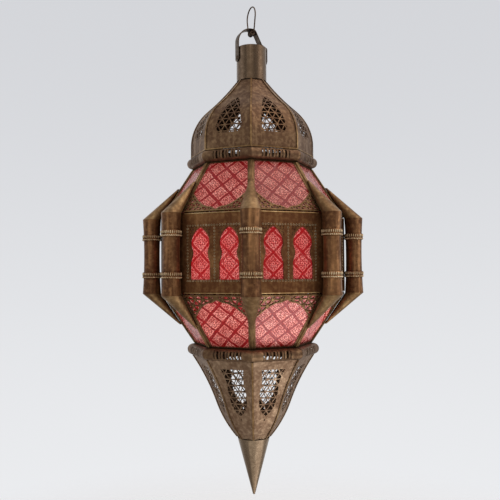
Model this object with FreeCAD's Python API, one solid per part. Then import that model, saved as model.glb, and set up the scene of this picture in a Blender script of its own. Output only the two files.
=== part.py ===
import FreeCAD, Part
import math
import os
from FreeCAD import Vector

os.makedirs("parts", exist_ok=True)

# Eight-sided sheet-brass lantern with red pressed glass, hung from a wire loop.
# Millimetres, +Z up.  The origin is where a hook bears on the inside of the loop,
# and the lantern's upright axis passes through it.
# A facet piece is drawn once with its outward side along +X, then turned onto
# the eight sides; a corner piece is drawn on the +X corner and turned likewise.

SIDES = 8
HALF_TURN = 180.0 / SIDES                      # from a facet's middle to its corner, degrees
COS = math.cos(math.radians(HALF_TURN))
TAN = math.tan(math.radians(HALF_TURN))

# ---- stock and fits ----
sheet = 0.8                  # brass sheet
glass = 3.0                  # pressed glass
seat_gap = 0.2               # between pieces that lie on each other
mitre_gap = 0.1              # each side of a corner joint
running_gap = 0.08           # radial, round pins and rivets that turn
swing_gap = 0.3              # between pieces of different bodies

# ---- hanging loop and bail ----
loop_wire = 1.0              # radius of the loop's wire
loop_width = 30.0            # across the loop's wire centres, at its widest
loop_foot_width = 13.0       # between the centres of the loop's two lower bends
loop_foot_bend = 4.0         # radius of those bends
knot_radius = 4.25           # wire wrapped round the loop's lower bar
knot_length = 11.0
knot_turns = 3
knot_dip = 1.3               # how deep the grooves between the turns are
crown_drop = 34.7            # hook bearing down to the underside of the bail's crown
bail_width = 12.0
bail_thick = 1.2
bail_bearing = 25.0          # the bail's plane, degrees from +X
crown_rise = 28.3            # neck rim up to the underside of the crown
crown_bend = 21.0            # the round side of the arch
crown_reach = 3.6            # from the axis to where the straight side starts down
crown_corner = 6.0
slope_reach = 14.8           # foot of the straight side, from the axis
slope_drop = 22.2            # its fall from the crown
shoulder_drop = 4.7          # further fall to the shoulder over the rim
shoulder_bend = 4.0
leg_bend = 3.0
rivet_drop = 16.0            # neck rim down to the rivets
rivet_radius = 1.8
rivet_head = 3.4
rivet_head_height = 1.6
rivet_tail = 3.0
rivet_tail_height = 1.0

# ---- neck, dome, bowl and spike ----
neck_radius = 22.5
neck_wall = 0.9
neck_length = 51.0
dome_height = 113.2
dome_apothem = 84.3          # middle of a side, outside, at the foot
dome_skirt = 15.0            # upright part at the foot
dome_turn_inset = 23.5       # where the outline turns from bulging to hollow
dome_turn_height = 68.0
bowl_height = 121.2
bowl_apothem = 83.1
bowl_turn_inset = 33.1
bowl_turn_drop = 70.0
bowl_turn_angle = 18.5       # from upright, degrees
bowl_foot_apothem = 22.2
spike_radius = 24.0
spike_length = 84.5
spike_tip = 1.9
spike_solid_tip = 12.0       # solder that fills the tip
seam_width = 2.4
seam_height = 0.8

# ---- half-round bands ----
band_radius = 8.2
band_apothem = 82.4          # to the centre of the half round
band_flange_apothem = 70.0   # inner edge of the two flanges
bead_height = 2.0
bead_inset = 0.3
bead_reach = 3.2             # how far the bead reaches past the centre of the half round
slot_count = 9
slot_span = 40.0
slot_height = 10.5
slot_thin = 1.3
slot_thick = 3.0

# ---- sloped panels ----
box_corner = 137.5           # corner radius of the upright box, outside
upper_slope_height = 74.7
upper_slope_inset = 48.9     # how much the corner radius shrinks over that height
lower_slope_height = 76.1
lower_slope_inset = 51.5
groove = 1.6                 # dark gap between a sloped panel and the box
ridge_height = 2.0           # folded edge beside the groove
ridge_proud = 1.0
ridge_half_length = 45.0
came_half_width = 2.8
pane_corner_gap = 3.0
opening_margin = 5.0         # frame left beside the corner joint
upper_tip_margin = 3.2       # groove to the tip of the ogee opening
lower_tip_margin = 7.4
ogee_neck = 13.0             # half width where the tip ends
ogee_neck_rise = 5.6
ogee_shoulder_rise = 25.0    # tip up to where the sides run straight

# ---- upright box ----
box_height = 109.8
hoop_depth = 3.6
hoop_height = 4.3
window_half_width = 14.5
window_pitch = 42.4
window_foot = 19.3           # box foot up to the window foot
window_shoulder = 21.7       # window foot up to its shoulders
window_waist = 37.5
window_waist_inset = 3.5
window_lobe_inset = 0.8
window_shoulder_bow = 0.9
window_lobe = 49.5
window_height = 70.5

# ---- corner columns and their pointed ends ----
column_waist = 11.6
column_flare = 13.5
column_overrun = 0.7         # how much longer a column is than the box
column_lift = -1.0           # top of the columns above the top of the box
collar_radius = 13.7
collar_height = 9.0
collar_inset = 27.3          # column end to the collar's middle
collar_wall = 1.1
buttress_tip = 1.6
buttress_rise = 46.0         # beyond the column's end

# ---- piercing ----
strand = 1.3                 # brass left between pierced holes
dome_rows = 6                # rows of pierced triangles in a window
dome_cell = 11.0             # width of a pair of triangles
bowl_rows = 7
bowl_cell = 10.0
ogee_rows = 4
ogee_cell = 5.2
corner_drop = 5.0            # height of the pierced triangles above a keyhole window
corner_widths = (7.0, 4.5)
dome_window_foot = 21.0      # above the dome's foot
dome_window_height = 55.0
dome_window_half = 19.5
bowl_window_top = 13.0       # below the bowl's rim
bowl_window_height = 69.0
bowl_window_half = 18.5

# ---- door in one side of the box ----
door_side = 1                # the side at the back, right of the middle as seen from the front
door_half_width = 42.8
door_gap = 0.5
door_rail = 4.4              # box edge to the door opening
door_pane_inset = 1.0
hinge_knuckle = 1.7
hinge_pin = 0.8
hinge_length = 18.0
hinge_inset = 26.0           # box edge to a hinge's middle
hinge_leaf_strap = 7.0       # reach of a strap from the pin, on the door
hinge_frame_strap = 7.5      # the same, on the frame
hinge_strap_thick = 0.7
hinge_pin_stand = 1.0        # how far the pin stands out of the knuckles at each end
knob_radius = 3.2
knob_length = 9.0
button_length = 14.0
button_width = 5.0
button_pivot = 1.2
button_rise = 17.0           # box middle up to the button's pivot
button_side_gap = 4.4        # door opening to the pivot

# ---- candle fitting ----
bar_clearance = 0.7          # bar's ends to the sloped glass
bar_width = 24.0
saucer_radius = 30.0
saucer_lip = 3.5
socket_radius = 12.0
socket_height = 22.0
candle_rivet = 2.0
candle_rivet_head = 3.6
candle_rivet_head_height = 1.0

# ---- levels ----
z_crown = -crown_drop
z_rim = z_crown - crown_rise
z_rivet = z_rim - rivet_drop
z_knot = z_crown - swing_gap - knot_radius
z_neck_foot = z_rim - neck_length
z_dome_top = z_neck_foot - seat_gap
z_dome_foot = z_dome_top - dome_height
z_bead_top = z_dome_foot - seat_gap
z_upper_band = z_bead_top - bead_height - seat_gap - band_radius
z_upper_slope = z_upper_band - band_radius - seat_gap
z_box_top = z_upper_slope - upper_slope_height
z_box_foot = z_box_top - box_height
z_lower_slope = z_box_foot - lower_slope_height
z_lower_band = z_lower_slope - seat_gap - band_radius
z_bowl_top = z_lower_band - band_radius - seat_gap
z_bowl_foot = z_bowl_top - bowl_height
z_spike_top = z_bowl_foot - seat_gap

box_apothem = box_corner * COS
column_centre = box_corner + collar_radius + seat_gap
z_column_top = z_box_top + column_lift
z_column_foot = z_column_top - box_height - column_overrun
bail_reach = neck_radius + swing_gap + bail_thick / 2.0      # middle of the bail's legs
z_bar = z_lower_band + band_radius + seat_gap
FAR = 2.0 * (column_centre + column_flare)                   # longer than anything is wide


# ---- helpers ----
def turned(shape, degrees):
    copy = shape.copy()
    copy.rotate(Vector(0, 0, 0), Vector(0, 0, 1), degrees)
    return copy


def on_sides(shape, sides=range(SIDES)):
    return [turned(shape, (2 * side + 1) * HALF_TURN) for side in sides]


def on_corners(shape):
    return [turned(shape, 2 * corner * HALF_TURN) for corner in range(SIDES)]


def save(name, *solids):
    shape = solids[0] if len(solids) == 1 else Part.makeCompound(list(solids))
    count = len(shape.Solids)
    assert shape.isValid() and count >= 1, name
    shape.exportStep("parts/%s.step" % name)
    print("%-26s %2d solids %10.1f mm3" % (name, count, shape.Volume))


def face_xz(points):
    """A flat face through corner points (x, z), closed."""
    corners = [Vector(x, 0, z) for x, z in points]
    return Part.Face(Part.makePolygon(corners + corners[:1]))


def prism_x(points, reach=FAR):
    """A prism along +X with the outline (y, z)."""
    corners = [Vector(0, y, z) for y, z in points]
    return Part.Face(Part.makePolygon(corners + corners[:1])).extrude(Vector(reach, 0, 0))


def across(face):
    """A face in the XZ plane drawn out to both sides, wider than any facet."""
    solid = face.extrude(Vector(0, FAR, 0))
    solid.translate(Vector(0, -FAR / 2.0, 0))
    return solid


def side_wedge(gap, top=0.0, foot=2.0 * z_spike_top):
    """The eighth part of the lantern round +X, cut back by gap at both corners."""
    start = gap / math.sin(math.radians(HALF_TURN))
    half = (FAR - start) * TAN
    plan = [Vector(start, 0, foot), Vector(FAR, -half, foot), Vector(FAR, half, foot)]
    return Part.Face(Part.makePolygon(plan + plan[:1])).extrude(Vector(0, 0, top - foot))


def octagon_ring(outer, inner, foot, top):
    """A flat ring with the facet apothems outer and inner."""
    def plan(apothem):
        corners = [turned(Part.Vertex(apothem / COS, 0, foot), 2 * k * HALF_TURN).Point
                   for k in range(SIDES)]
        return Part.makePolygon(corners + corners[:1])
    height = Vector(0, 0, top - foot)
    ring = Part.Face(plan(outer)).extrude(height)
    return ring.cut(Part.Face(plan(inner)).extrude(height)) if inner > 0 else ring


def tangent_arc(start, direction, end):
    """The arc that leaves start along direction and ends at end, as an edge, with its end direction."""
    ax, az = start
    dx, dz = direction
    cx, cz = end[0] - ax, end[1] - az
    side = -dz * cx + dx * cz
    radius = (cx * cx + cz * cz) / (2.0 * side)
    centre = (ax - dz * radius, az + dx * radius)
    chord = math.hypot(cx, cz)
    half = math.asin(chord / (2.0 * abs(radius)))
    sagitta = abs(radius) * (1.0 - math.cos(half))
    mx, mz = (ax + end[0]) / 2.0, (az + end[1]) / 2.0
    out = math.hypot(mx - centre[0], mz - centre[1])
    mid = (mx + (mx - centre[0]) / out * sagitta, mz + (mz - centre[1]) / out * sagitta)
    arc = Part.Arc(Vector(ax, 0, az), Vector(mid[0], 0, mid[1]), Vector(end[0], 0, end[1]))
    turn = 2.0 * math.copysign(half, side)
    end_direction = (dx * math.cos(turn) - dz * math.sin(turn), dx * math.sin(turn) + dz * math.cos(turn))
    return arc.toShape(), end_direction


def line(start, end):
    return Part.LineSegment(Vector(start[0], 0, start[1]), Vector(end[0], 0, end[1])).toShape()


def thick_outline(wire, outer_offset, inner_offset):
    """The face between two offsets of an open outline; minus is towards the axis."""
    sides = [wire.makeOffset2D(value, 0, False, True) if value else wire
             for value in (outer_offset, inner_offset)]
    ends = [[side.OrderedVertexes[k].Point for side in sides] for k in (0, -1)]
    caps = [Part.LineSegment(a, b).toShape() for a, b in ends]
    edges = [edge for side in sides for edge in side.Edges] + caps
    return Part.Face(Part.Wire(Part.__sortEdges__(edges)))


def bent_strip(corners, bends, thick):
    """A face in the XZ plane: a strip of one thickness along corners, each rounded at mid-thickness."""
    def side_points(offset):
        points = []
        for k, (x, z) in enumerate(corners):
            before = corners[k] if k == 0 else corners[k - 1]
            after = corners[k] if k == len(corners) - 1 else corners[k + 1]
            d1 = unit(x - before[0], z - before[1]) if k else unit(after[0] - x, after[1] - z)
            d2 = unit(after[0] - x, after[1] - z) if after != (x, z) else d1
            bisector = unit(-(d1[1] + d2[1]), d1[0] + d2[0])
            shift = offset / (bisector[0] * -d1[1] + bisector[1] * d1[0])
            points.append((x + bisector[0] * shift, z + bisector[1] * shift))
        return points

    def rounded(points, offset):
        edges = []
        last = points[0]
        for k in range(1, len(points) - 1):
            d1 = unit(points[k][0] - points[k - 1][0], points[k][1] - points[k - 1][1])
            d2 = unit(points[k + 1][0] - points[k][0], points[k + 1][1] - points[k][1])
            turn = math.atan2(d1[0] * d2[1] - d1[1] * d2[0], d1[0] * d2[0] + d1[1] * d2[1])
            radius = bends[k - 1] - math.copysign(offset, turn)
            reach = radius * math.tan(abs(turn) / 2.0)
            first = (points[k][0] - d1[0] * reach, points[k][1] - d1[1] * reach)
            final = (points[k][0] + d2[0] * reach, points[k][1] + d2[1] * reach)
            edges += [line(last, first), tangent_arc(first, d1, final)[0]]
            last = final
        return edges + [line(last, points[-1])]

    left = rounded(side_points(thick / 2.0), thick / 2.0)
    right = rounded(side_points(-thick / 2.0), -thick / 2.0)
    caps = [Part.LineSegment(left[k].Vertexes[k].Point, right[k].Vertexes[k].Point).toShape()
            for k in (0, -1)]
    return Part.Face(Part.Wire(Part.__sortEdges__(left + right + caps)))


def unit(x, z):
    length = math.hypot(x, z)
    return x / length, z / length


def triangle_holes(half_width, foot, height, rows, cell, gap):
    """Triangular holes that fill a window, brass strands between them, as prisms along +X.

    half_width(t) is the window's half width at the share t of its height."""
    holes = []
    for row in range(rows):
        t0, t1 = row / rows, (row + 1) / rows
        low, high = half_width(t0), half_width(t1)
        cells = max(1, round((low + high) / cell))
        z0, z1 = foot + height * t0, foot + height * t1
        for k in range(cells):
            s0, s1 = 2.0 * k / cells - 1.0, 2.0 * (k + 1) / cells - 1.0
            a, b, c, d = (low * s0, z0), (low * s1, z0), (high * s1, z1), (high * s0, z1)
            pairs = [(a, b, c), (a, c, d)] if (row + k) % 2 else [(a, b, d), (b, c, d)]
            holes += [hole for corners in pairs for hole in inset_triangle(corners, gap / 2.0)]
    return [prism_x(hole) for hole in holes]


def inset_triangle(corners, inset):
    """The triangle moved in by inset on all sides, or nothing if little is left."""
    sides = [math.dist(corners[(k + 1) % 3], corners[(k + 2) % 3]) for k in range(3)]
    around = sum(sides)
    (x0, z0), (x1, z1), (x2, z2) = corners
    area = abs((x1 - x0) * (z2 - z0) - (x2 - x0) * (z1 - z0)) / 2.0
    inradius = 2.0 * area / around if around else 0.0
    if inradius < 1.6 * inset:
        return []
    centre = [sum(side * corner[k] for side, corner in zip(sides, corners)) / around for k in (0, 1)]
    share = 1.0 - inset / inradius
    return [[(centre[0] + (x - centre[0]) * share, centre[1] + (z - centre[1]) * share) for x, z in corners]]


# ---- hanging loop, its knot and the bail ----
def ring_of_wire():
    """The loop: a belt of wire round its wide head and two small lower bends, in the YZ plane."""
    circles = [(0.0, loop_wire - loop_width / 2.0, loop_width / 2.0),
               (loop_foot_width / 2.0, z_knot + loop_foot_bend, loop_foot_bend),
               (-loop_foot_width / 2.0, z_knot + loop_foot_bend, loop_foot_bend)]
    ends = []
    for k in range(3):
        y0, z0, r0 = circles[k]
        y1, z1, r1 = circles[(k + 1) % 3]
        distance = math.hypot(y1 - y0, z1 - z0)
        along = math.atan2(z1 - z0, y1 - y0)
        normal = along + math.acos((r0 - r1) / distance)
        ends.append([(y0 + r0 * math.cos(normal), z0 + r0 * math.sin(normal), normal),
                     (y1 + r1 * math.cos(normal), z1 + r1 * math.sin(normal), normal)])
    edges = []
    for k in range(3):
        (y0, z0, _), (y1, z1, arrive) = ends[k]
        edges.append(Part.LineSegment(Vector(0, y0, z0), Vector(0, y1, z1)).toShape())
        cy, cz, radius = circles[(k + 1) % 3]
        y2, z2, leave = ends[(k + 1) % 3][0]
        sweep = (leave - arrive) % (2.0 * math.pi) - 2.0 * math.pi
        middle = arrive + sweep / 2.0
        mid = Vector(0, cy + radius * math.cos(middle), cz + radius * math.sin(middle))
        edges.append(Part.Arc(Vector(0, y1, z1), mid, Vector(0, y2, z2)).toShape())
    path = Part.Wire(Part.__sortEdges__(edges))
    start, towards = edges[0].Vertexes[0].Point, edges[0].tangentAt(0)
    section = Part.Wire(Part.makeCircle(loop_wire, start, towards))
    return path.makePipeShell([section], True, False)


def wire_knot():
    """Wire wrapped round the loop's lower bar, as a ribbed sleeve."""
    rib = knot_length / knot_turns / 2.0
    bore = loop_wire + seat_gap / 4.0
    edges = []
    for k in range(knot_turns):
        middle = (2 * k + 1) * rib - knot_length / 2.0
        edges.append(Part.Arc(Vector(0, middle - rib, knot_radius - knot_dip), Vector(0, middle, knot_radius),
                              Vector(0, middle + rib, knot_radius - knot_dip)).toShape())
    first, final = edges[0].Vertexes[0].Point, edges[-1].Vertexes[-1].Point
    low = [Vector(0, first.y, bore), Vector(0, final.y, bore)]
    steps = ((first, low[0]), (low[0], low[1]), (low[1], final))
    edges += [Part.LineSegment(a, b).toShape() for a, b in steps]
    sleeve = Part.Face(Part.Wire(Part.__sortEdges__(edges))).revolve(Vector(0, 0, 0), Vector(0, 1, 0), 360)
    sleeve.translate(Vector(0, 0, z_knot))
    return sleeve


def bail():
    mid = z_crown + bail_thick / 2.0
    corners = [(-bail_reach, z_rivet), (-bail_reach, mid), (crown_reach, mid),
               (slope_reach, mid - slope_drop), (bail_reach, mid - slope_drop - shoulder_drop),
               (bail_reach, z_rivet)]
    strip = bent_strip(corners, [crown_bend, crown_corner, shoulder_bend, leg_bend], bail_thick)
    strap = strip.extrude(Vector(0, bail_width, 0))
    strap.translate(Vector(0, -bail_width / 2.0, 0))
    for side in (-1, 1):
        start = Vector(side * bail_reach - bail_thick / 2.0, 0, z_rivet)
        strap = strap.fuse(Part.makeCylinder(bail_width / 2.0, bail_thick, start, Vector(1, 0, 0)))
    hole = Part.makeCylinder(rivet_radius + running_gap, FAR, Vector(-FAR / 2.0, 0, z_rivet), Vector(1, 0, 0))
    return strap.cut(hole).removeSplitter()


def bail_rivet():
    """A rivet along +X through the neck wall and the bail's leg."""
    inside = neck_radius - neck_wall - swing_gap
    outside = bail_reach + bail_thick / 2.0 + seat_gap
    along = Vector(1, 0, 0)
    shank = Part.makeCylinder(rivet_radius, outside - inside, Vector(inside, 0, z_rivet), along)
    tail_base = Vector(inside - rivet_tail_height, 0, z_rivet)
    tail = Part.makeCylinder(rivet_tail, rivet_tail_height, tail_base, along)
    ball = (rivet_head ** 2 + rivet_head_height ** 2) / (2.0 * rivet_head_height)
    head = Part.makeSphere(ball, Vector(outside + rivet_head_height - ball, 0, z_rivet))
    keep = Part.makeCylinder(rivet_head * 2.0, ball * 2.0, Vector(outside, 0, z_rivet), along)
    return shank.fuse([tail, head.common(keep)]).removeSplitter()


def neck():
    tube = Part.makeCylinder(neck_radius, neck_length, Vector(0, 0, z_neck_foot))
    tube = tube.cut(Part.makeCylinder(neck_radius - neck_wall, neck_length, Vector(0, 0, z_neck_foot)))
    hole = Part.makeCylinder(rivet_radius + running_gap, FAR, Vector(-FAR / 2.0, 0, z_rivet), Vector(1, 0, 0))
    return turned(tube.cut(hole), bail_bearing)


# ---- dome and bowl ----
def dome_outline():
    """Outside of a dome side from its foot to its top, as an open wire in the XZ plane."""
    foot = (dome_apothem, z_dome_foot)
    skirt = (dome_apothem, z_dome_foot + dome_skirt)
    turn = (dome_apothem - dome_turn_inset, z_dome_foot + dome_turn_height)
    top = ((neck_radius - neck_wall / 2.0) * COS, z_dome_top)
    bulge, direction = tangent_arc(skirt, (0.0, 1.0), turn)
    return Part.Wire([line(foot, skirt), bulge, tangent_arc(turn, direction, top)[0]])


def bowl_outline():
    """Outside of a bowl side from its foot to its rim."""
    lean = math.radians(bowl_turn_angle)
    rim = (bowl_apothem, z_bowl_top)
    turn = (bowl_apothem - bowl_turn_inset, z_bowl_top - bowl_turn_drop)
    foot = (bowl_foot_apothem, z_bowl_foot)
    hollow = tangent_arc(turn, (math.sin(lean), math.cos(lean)), rim)[0]
    bulge = tangent_arc(turn, (-math.sin(lean), -math.cos(lean)), foot)[0]
    return Part.Wire(Part.__sortEdges__([bulge, hollow]))


def level_ends(outline):
    """The lowest and highest level of an outline."""
    return outline.BoundBox.ZMin, outline.BoundBox.ZMax


def gore(outline, holes):
    """One curved side of the dome or bowl with its pierced window, cut level at both ends."""
    foot, top = level_ends(outline)
    solid = across(thick_outline(outline, 0.0, inward(outline) * sheet))
    return solid.common(side_wedge(mitre_gap, top, foot)).cut(Part.makeCompound(holes))


def inward(outline):
    """The sign of an offset that moves this outline towards the axis."""
    trial = outline.makeOffset2D(sheet, 0, False, True)
    return 1.0 if trial.CenterOfMass.x < outline.CenterOfMass.x else -1.0


def seams(outline):
    """Thin raised strips along the eight corners of the dome or bowl."""
    sign = inward(outline)
    strip = thick_outline(outline, -sign * (seat_gap / 2.0 + seam_height), -sign * seat_gap / 2.0)
    stretch = FreeCAD.Matrix()
    stretch.scale(Vector(1.0 / COS, 1.0, 1.0))
    strip = strip.transformGeometry(stretch)
    solid = strip.extrude(Vector(0, seam_width, 0))
    solid.translate(Vector(0, -seam_width / 2.0, 0))
    foot, top = level_ends(outline)
    room = Part.makeBox(FAR, seam_width, top - foot, Vector(0, -seam_width / 2.0, foot))
    return on_corners(solid.common(room))


def dome_window(t):
    """Half width of the dome's leaf-shaped window, from its foot (0) to its tip (1)."""
    return dome_window_half * min(1.0, 0.72 + 2.2 * t) * (1.0 - max(0.0, t - 0.1) / 0.9) ** 0.8


def bowl_window(t):
    """Half width of the bowl's window from its tip (0) to its wide top (1), with a waist between."""
    tip = min(1.0, t / 0.35) ** 0.8
    return bowl_window_half * tip * (0.60 + 0.40 * max(0.0, (t - 0.68) / 0.32) - 0.16 * math.sin(math.pi * t))


def spike():
    """A hollow sheet cone with a small round tip, filled solid near the point."""
    down = Vector(0, 0, -1)
    top = Vector(0, 0, z_spike_top)
    cone = Part.makeCone(spike_radius, spike_tip, spike_length - spike_tip, top, down)
    ball = Part.makeSphere(spike_tip, Vector(0, 0, z_spike_top - spike_length + spike_tip))
    bore_length = spike_length - spike_solid_tip
    bore_end = spike_radius - sheet - (spike_radius - spike_tip) * bore_length / (spike_length - spike_tip)
    bore = Part.makeCone(spike_radius - sheet, bore_end, bore_length, top, down)
    return cone.fuse(ball).cut(bore).removeSplitter()


# ---- half-round bands ----
def band(z_centre):
    """One side of a half-round band: a hollow moulding with two inward flanges and a row of slots."""
    a, b, r, t = band_apothem, band_flange_apothem, band_radius, sheet
    def half_round(radius):
        return Part.Arc(Vector(a, 0, z_centre + radius), Vector(a + radius, 0, z_centre),
                        Vector(a, 0, z_centre - radius)).toShape()
    edges = [half_round(r), half_round(r - t)]
    for side in (-1, 1):
        outer, inner = z_centre + side * r, z_centre + side * (r - t)
        edges += [line((a, outer), (b, outer)), line((b, outer), (b, inner)), line((b, inner), (a, inner))]
    solid = across(Part.Face(Part.Wire(Part.__sortEdges__(edges)))).common(side_wedge(mitre_gap))
    slots = []
    for k in range(slot_count):
        middle = slot_span * (k / (slot_count - 1.0) - 0.5)
        half = (slot_thick if k % 2 else slot_thin) / 2.0
        low, high = z_centre - slot_height / 2.0, z_centre + slot_height / 2.0
        left, right = middle - half, middle + half
        slot = prism_x([(left, low), (right, low), (right, high), (left, high)])
        slot.translate(Vector(a, 0, 0))
        slots.append(slot)
    return solid.cut(Part.makeCompound(slots))


# ---- sloped panels ----
class Slope:
    """One sloped side: its foot is at the box, its head at a band; sign is +1 above the box."""

    def __init__(self, z_foot, height, inset, sign, tip_margin):
        self.z_foot, self.height, self.inset, self.sign = z_foot, height, inset, sign
        self.tip_margin = tip_margin
        self.lean = math.atan2(inset * COS, height)

    def z(self, rise):
        return self.z_foot + self.sign * rise

    def apothem(self, rise, depth=0.0):
        return (box_corner - self.inset * rise / self.height) * COS - depth / math.cos(self.lean)

    def sheet(self, depth, thick, first, last):
        """A flat sheet that lies depth behind the outside, between two rises, cut level at both."""
        corners = [(self.apothem(first, depth), self.z(first)), (self.apothem(last, depth), self.z(last)),
                   (self.apothem(last, depth + thick), self.z(last)),
                   (self.apothem(first, depth + thick), self.z(first))]
        return across(face_xz(corners))

    def pyramid(self, proud):
        """The whole eight-sided body of this slope, grown outwards by proud."""
        rings = []
        for rise in (-groove, self.height + groove):
            corners = [turned(Part.Vertex(self.apothem(rise, -proud) / COS, 0, self.z(rise)),
                              2 * k * HALF_TURN).Point for k in range(SIDES)]
            rings.append(Part.makePolygon(corners + corners[:1]))
        return Part.makeLoft(rings, True, True)

    def half_width(self, rise):
        return self.apothem(rise) * TAN - opening_margin

    def opening(self):
        """The glass shows through this outline: an ogee tip towards the box, straight sides."""
        tip = self.tip_margin
        shoulder = tip + ogee_shoulder_rise
        head = self.height - ridge_height
        def point(y, rise):
            return Vector(0, y, self.z(rise))
        wide = self.half_width(shoulder)
        neck_rise, bow = tip + ogee_neck_rise, 0.12 * ogee_shoulder_rise
        right = [Part.Arc(point(0, tip), point(ogee_neck * 0.38, tip + ogee_neck_rise * 0.72),
                          point(ogee_neck, neck_rise)).toShape(),
                 Part.Arc(point(ogee_neck, neck_rise),
                          point((ogee_neck + wide) / 2.0, (neck_rise + shoulder) / 2.0 - bow),
                          point(wide, shoulder)).toShape(),
                 Part.LineSegment(point(wide, shoulder), point(self.half_width(head), head)).toShape()]
        left = [edge.mirror(Vector(0, 0, 0), Vector(0, 1, 0)) for edge in right]
        top_half = self.half_width(head)
        top = Part.LineSegment(point(top_half, head), point(-top_half, head)).toShape()
        wire = Part.Wire(Part.__sortEdges__(right + left + [top]))
        return Part.Face(wire).extrude(Vector(FAR, 0, 0))

    def corner_holes(self):
        """Small pierced triangles in the two corners beside the ogee tip."""
        holes = []
        foot = ridge_height + strand
        tall = self.tip_margin + ogee_shoulder_rise - foot - strand
        for row in range(ogee_rows):
            rises = [foot + tall * (row + share) / ogee_rows for share in (0.0, 1.0)]
            edges = []
            for rise in rises:
                past_neck = max(0.0, rise - self.tip_margin - ogee_neck_rise)
                share = past_neck / (ogee_shoulder_rise - ogee_neck_rise)
                inner = ogee_neck * 0.9 + (self.half_width(rise) - ogee_neck) * share ** 1.15 + 1.4 * strand
                edges.append((inner, self.half_width(rise)))
            (a0, b0), (a1, b1) = edges
            cells = max(1, int((b0 - a0) / ogee_cell))
            for k in range(cells):
                s0, s1 = k / cells, (k + 1) / cells
                low = [(a0 + (b0 - a0) * s, self.z(rises[0])) for s in (s0, s1)]
                high = [(a1 + (b1 - a1) * s, self.z(rises[1])) for s in (s0, s1)]
                pairs = ((low[0], low[1], high[0]), (low[1], high[1], high[0])) if k % 2 else \
                        ((low[0], low[1], high[1]), (low[0], high[1], high[0]))
                holes += [hole for corners in pairs for hole in inset_triangle(corners, strand / 2.6)]
        mirrored = [[(-y, z) for y, z in hole] for hole in holes]
        return [prism_x(hole) for hole in holes + mirrored]

    def frame(self):
        plate = self.sheet(0.0, sheet, groove / 2.0, self.height).common(side_wedge(mitre_gap))
        plate = plate.cut(self.opening()).cut(Part.makeCompound(self.corner_holes()))
        ridge = self.sheet(-ridge_proud, ridge_proud, groove / 2.0, groove / 2.0 + ridge_height)
        corner = Vector(0, -ridge_half_length, -FAR * 4.0)
        middle = Part.makeBox(FAR, 2.0 * ridge_half_length, FAR * 4.0, corner)
        return plate.fuse(ridge.common(middle)).removeSplitter()

    def pane(self):
        first = seat_gap
        body = self.sheet(sheet + seat_gap, glass, first, self.height - seat_gap)
        return body.common(side_wedge(pane_corner_gap))

    def came(self):
        """A folded strip over the joint between two sloped frames, on the +X corner."""
        shell = self.pyramid(seat_gap + sheet).cut(self.pyramid(seat_gap))
        low, high = sorted((self.z(groove / 2.0 + ridge_height), self.z(self.height)))
        length = Part.makeBox(FAR, 2.0 * came_half_width, high - low, Vector(0, -came_half_width, low))
        return shell.common(length)

    def buttress(self):
        """The pointed sheet cone that carries a column's end in to the sloped corner."""
        start = z_column_top + seat_gap if self.sign > 0 else z_column_foot - seat_gap
        tip_z = start + self.sign * buttress_rise
        proud = seat_gap + sheet + seat_gap
        corner = self.apothem(abs(tip_z - self.z_foot), -proud) / COS
        def cone(shrink):
            rings = []
            for share in (0.0 if not shrink else -0.02, 1.0 if not shrink else 0.97):
                centre = column_centre + (corner + buttress_tip - column_centre) * share
                radius = column_flare + (buttress_tip - column_flare) * share - shrink
                circle = Part.makeCircle(max(radius, 0.3), Vector(centre, 0, start + (tip_z - start) * share),
                                         Vector(0, 0, 1))
                rings.append(Part.Wire(circle))
            return Part.makeLoft(rings, True, True)
        return cone(0.0).cut(cone(sheet)).cut(self.pyramid(proud))


upper = Slope(z_box_top, upper_slope_height, upper_slope_inset, 1, upper_tip_margin)
lower = Slope(z_box_foot, lower_slope_height, lower_slope_inset, -1, lower_tip_margin)


# ---- upright box ----
def window_outline(middle):
    """A pointed keyhole: flat foot, shoulders, waist, round lobe and tip, as a face in the YZ plane."""
    foot = z_box_foot + window_foot
    half = window_half_width
    waist, lobe = half - window_waist_inset, half - window_lobe_inset
    def point(y, rise):
        return Vector(0, middle + y, foot + rise)
    right = [Part.LineSegment(point(half, 0), point(half, window_shoulder)).toShape(),
             Part.Arc(point(half, window_shoulder),
                      point(half - window_shoulder_bow, (window_shoulder + window_waist) / 2.0),
                      point(waist, window_waist)).toShape(),
             Part.Arc(point(waist, window_waist), point(half, (window_waist + 2.0 * window_lobe) / 3.0),
                      point(lobe, window_lobe)).toShape(),
             Part.Arc(point(lobe, window_lobe), point(0.62 * half, (window_lobe + window_height) / 2.0),
                      point(0, window_height)).toShape()]
    mirror_at = Vector(0, middle, 0)
    left = [edge.mirror(mirror_at, Vector(0, 1, 0)) for edge in right]
    base = Part.LineSegment(point(half, 0), point(-half, 0)).toShape()
    return Part.Face(Part.Wire(Part.__sortEdges__(right + left + [base])))


def spandrel_holes():
    """Pierced triangles above each window's two shoulders of the lobe."""
    holes = []
    top = z_box_foot + window_foot + window_height
    for middle in (-window_pitch / 2.0, window_pitch / 2.0):
        for side in (-1, 1):
            outer = middle + side * window_half_width
            for row, width in enumerate(corner_widths):
                level = top - row * (corner_drop + strand)
                corners = [(outer, level), (outer - side * width, level), (outer, level - corner_drop)]
                holes += inset_triangle(corners, strand / 4.0)
    return [prism_x(hole) for hole in holes]


def box_sheet(low_gap, high_gap):
    """A flat plate of the box's side, with the two windows and pierced corners."""
    low, high = z_box_foot + low_gap, z_box_top - high_gap
    plate = Part.makeBox(sheet, FAR, high - low, Vector(box_apothem - sheet, -FAR / 2.0, low))
    cuts = [window_outline(side * window_pitch / 2.0).extrude(Vector(FAR, 0, 0)) for side in (-1, 1)]
    return plate.cut(Part.makeCompound(cuts + spandrel_holes()))


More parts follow.
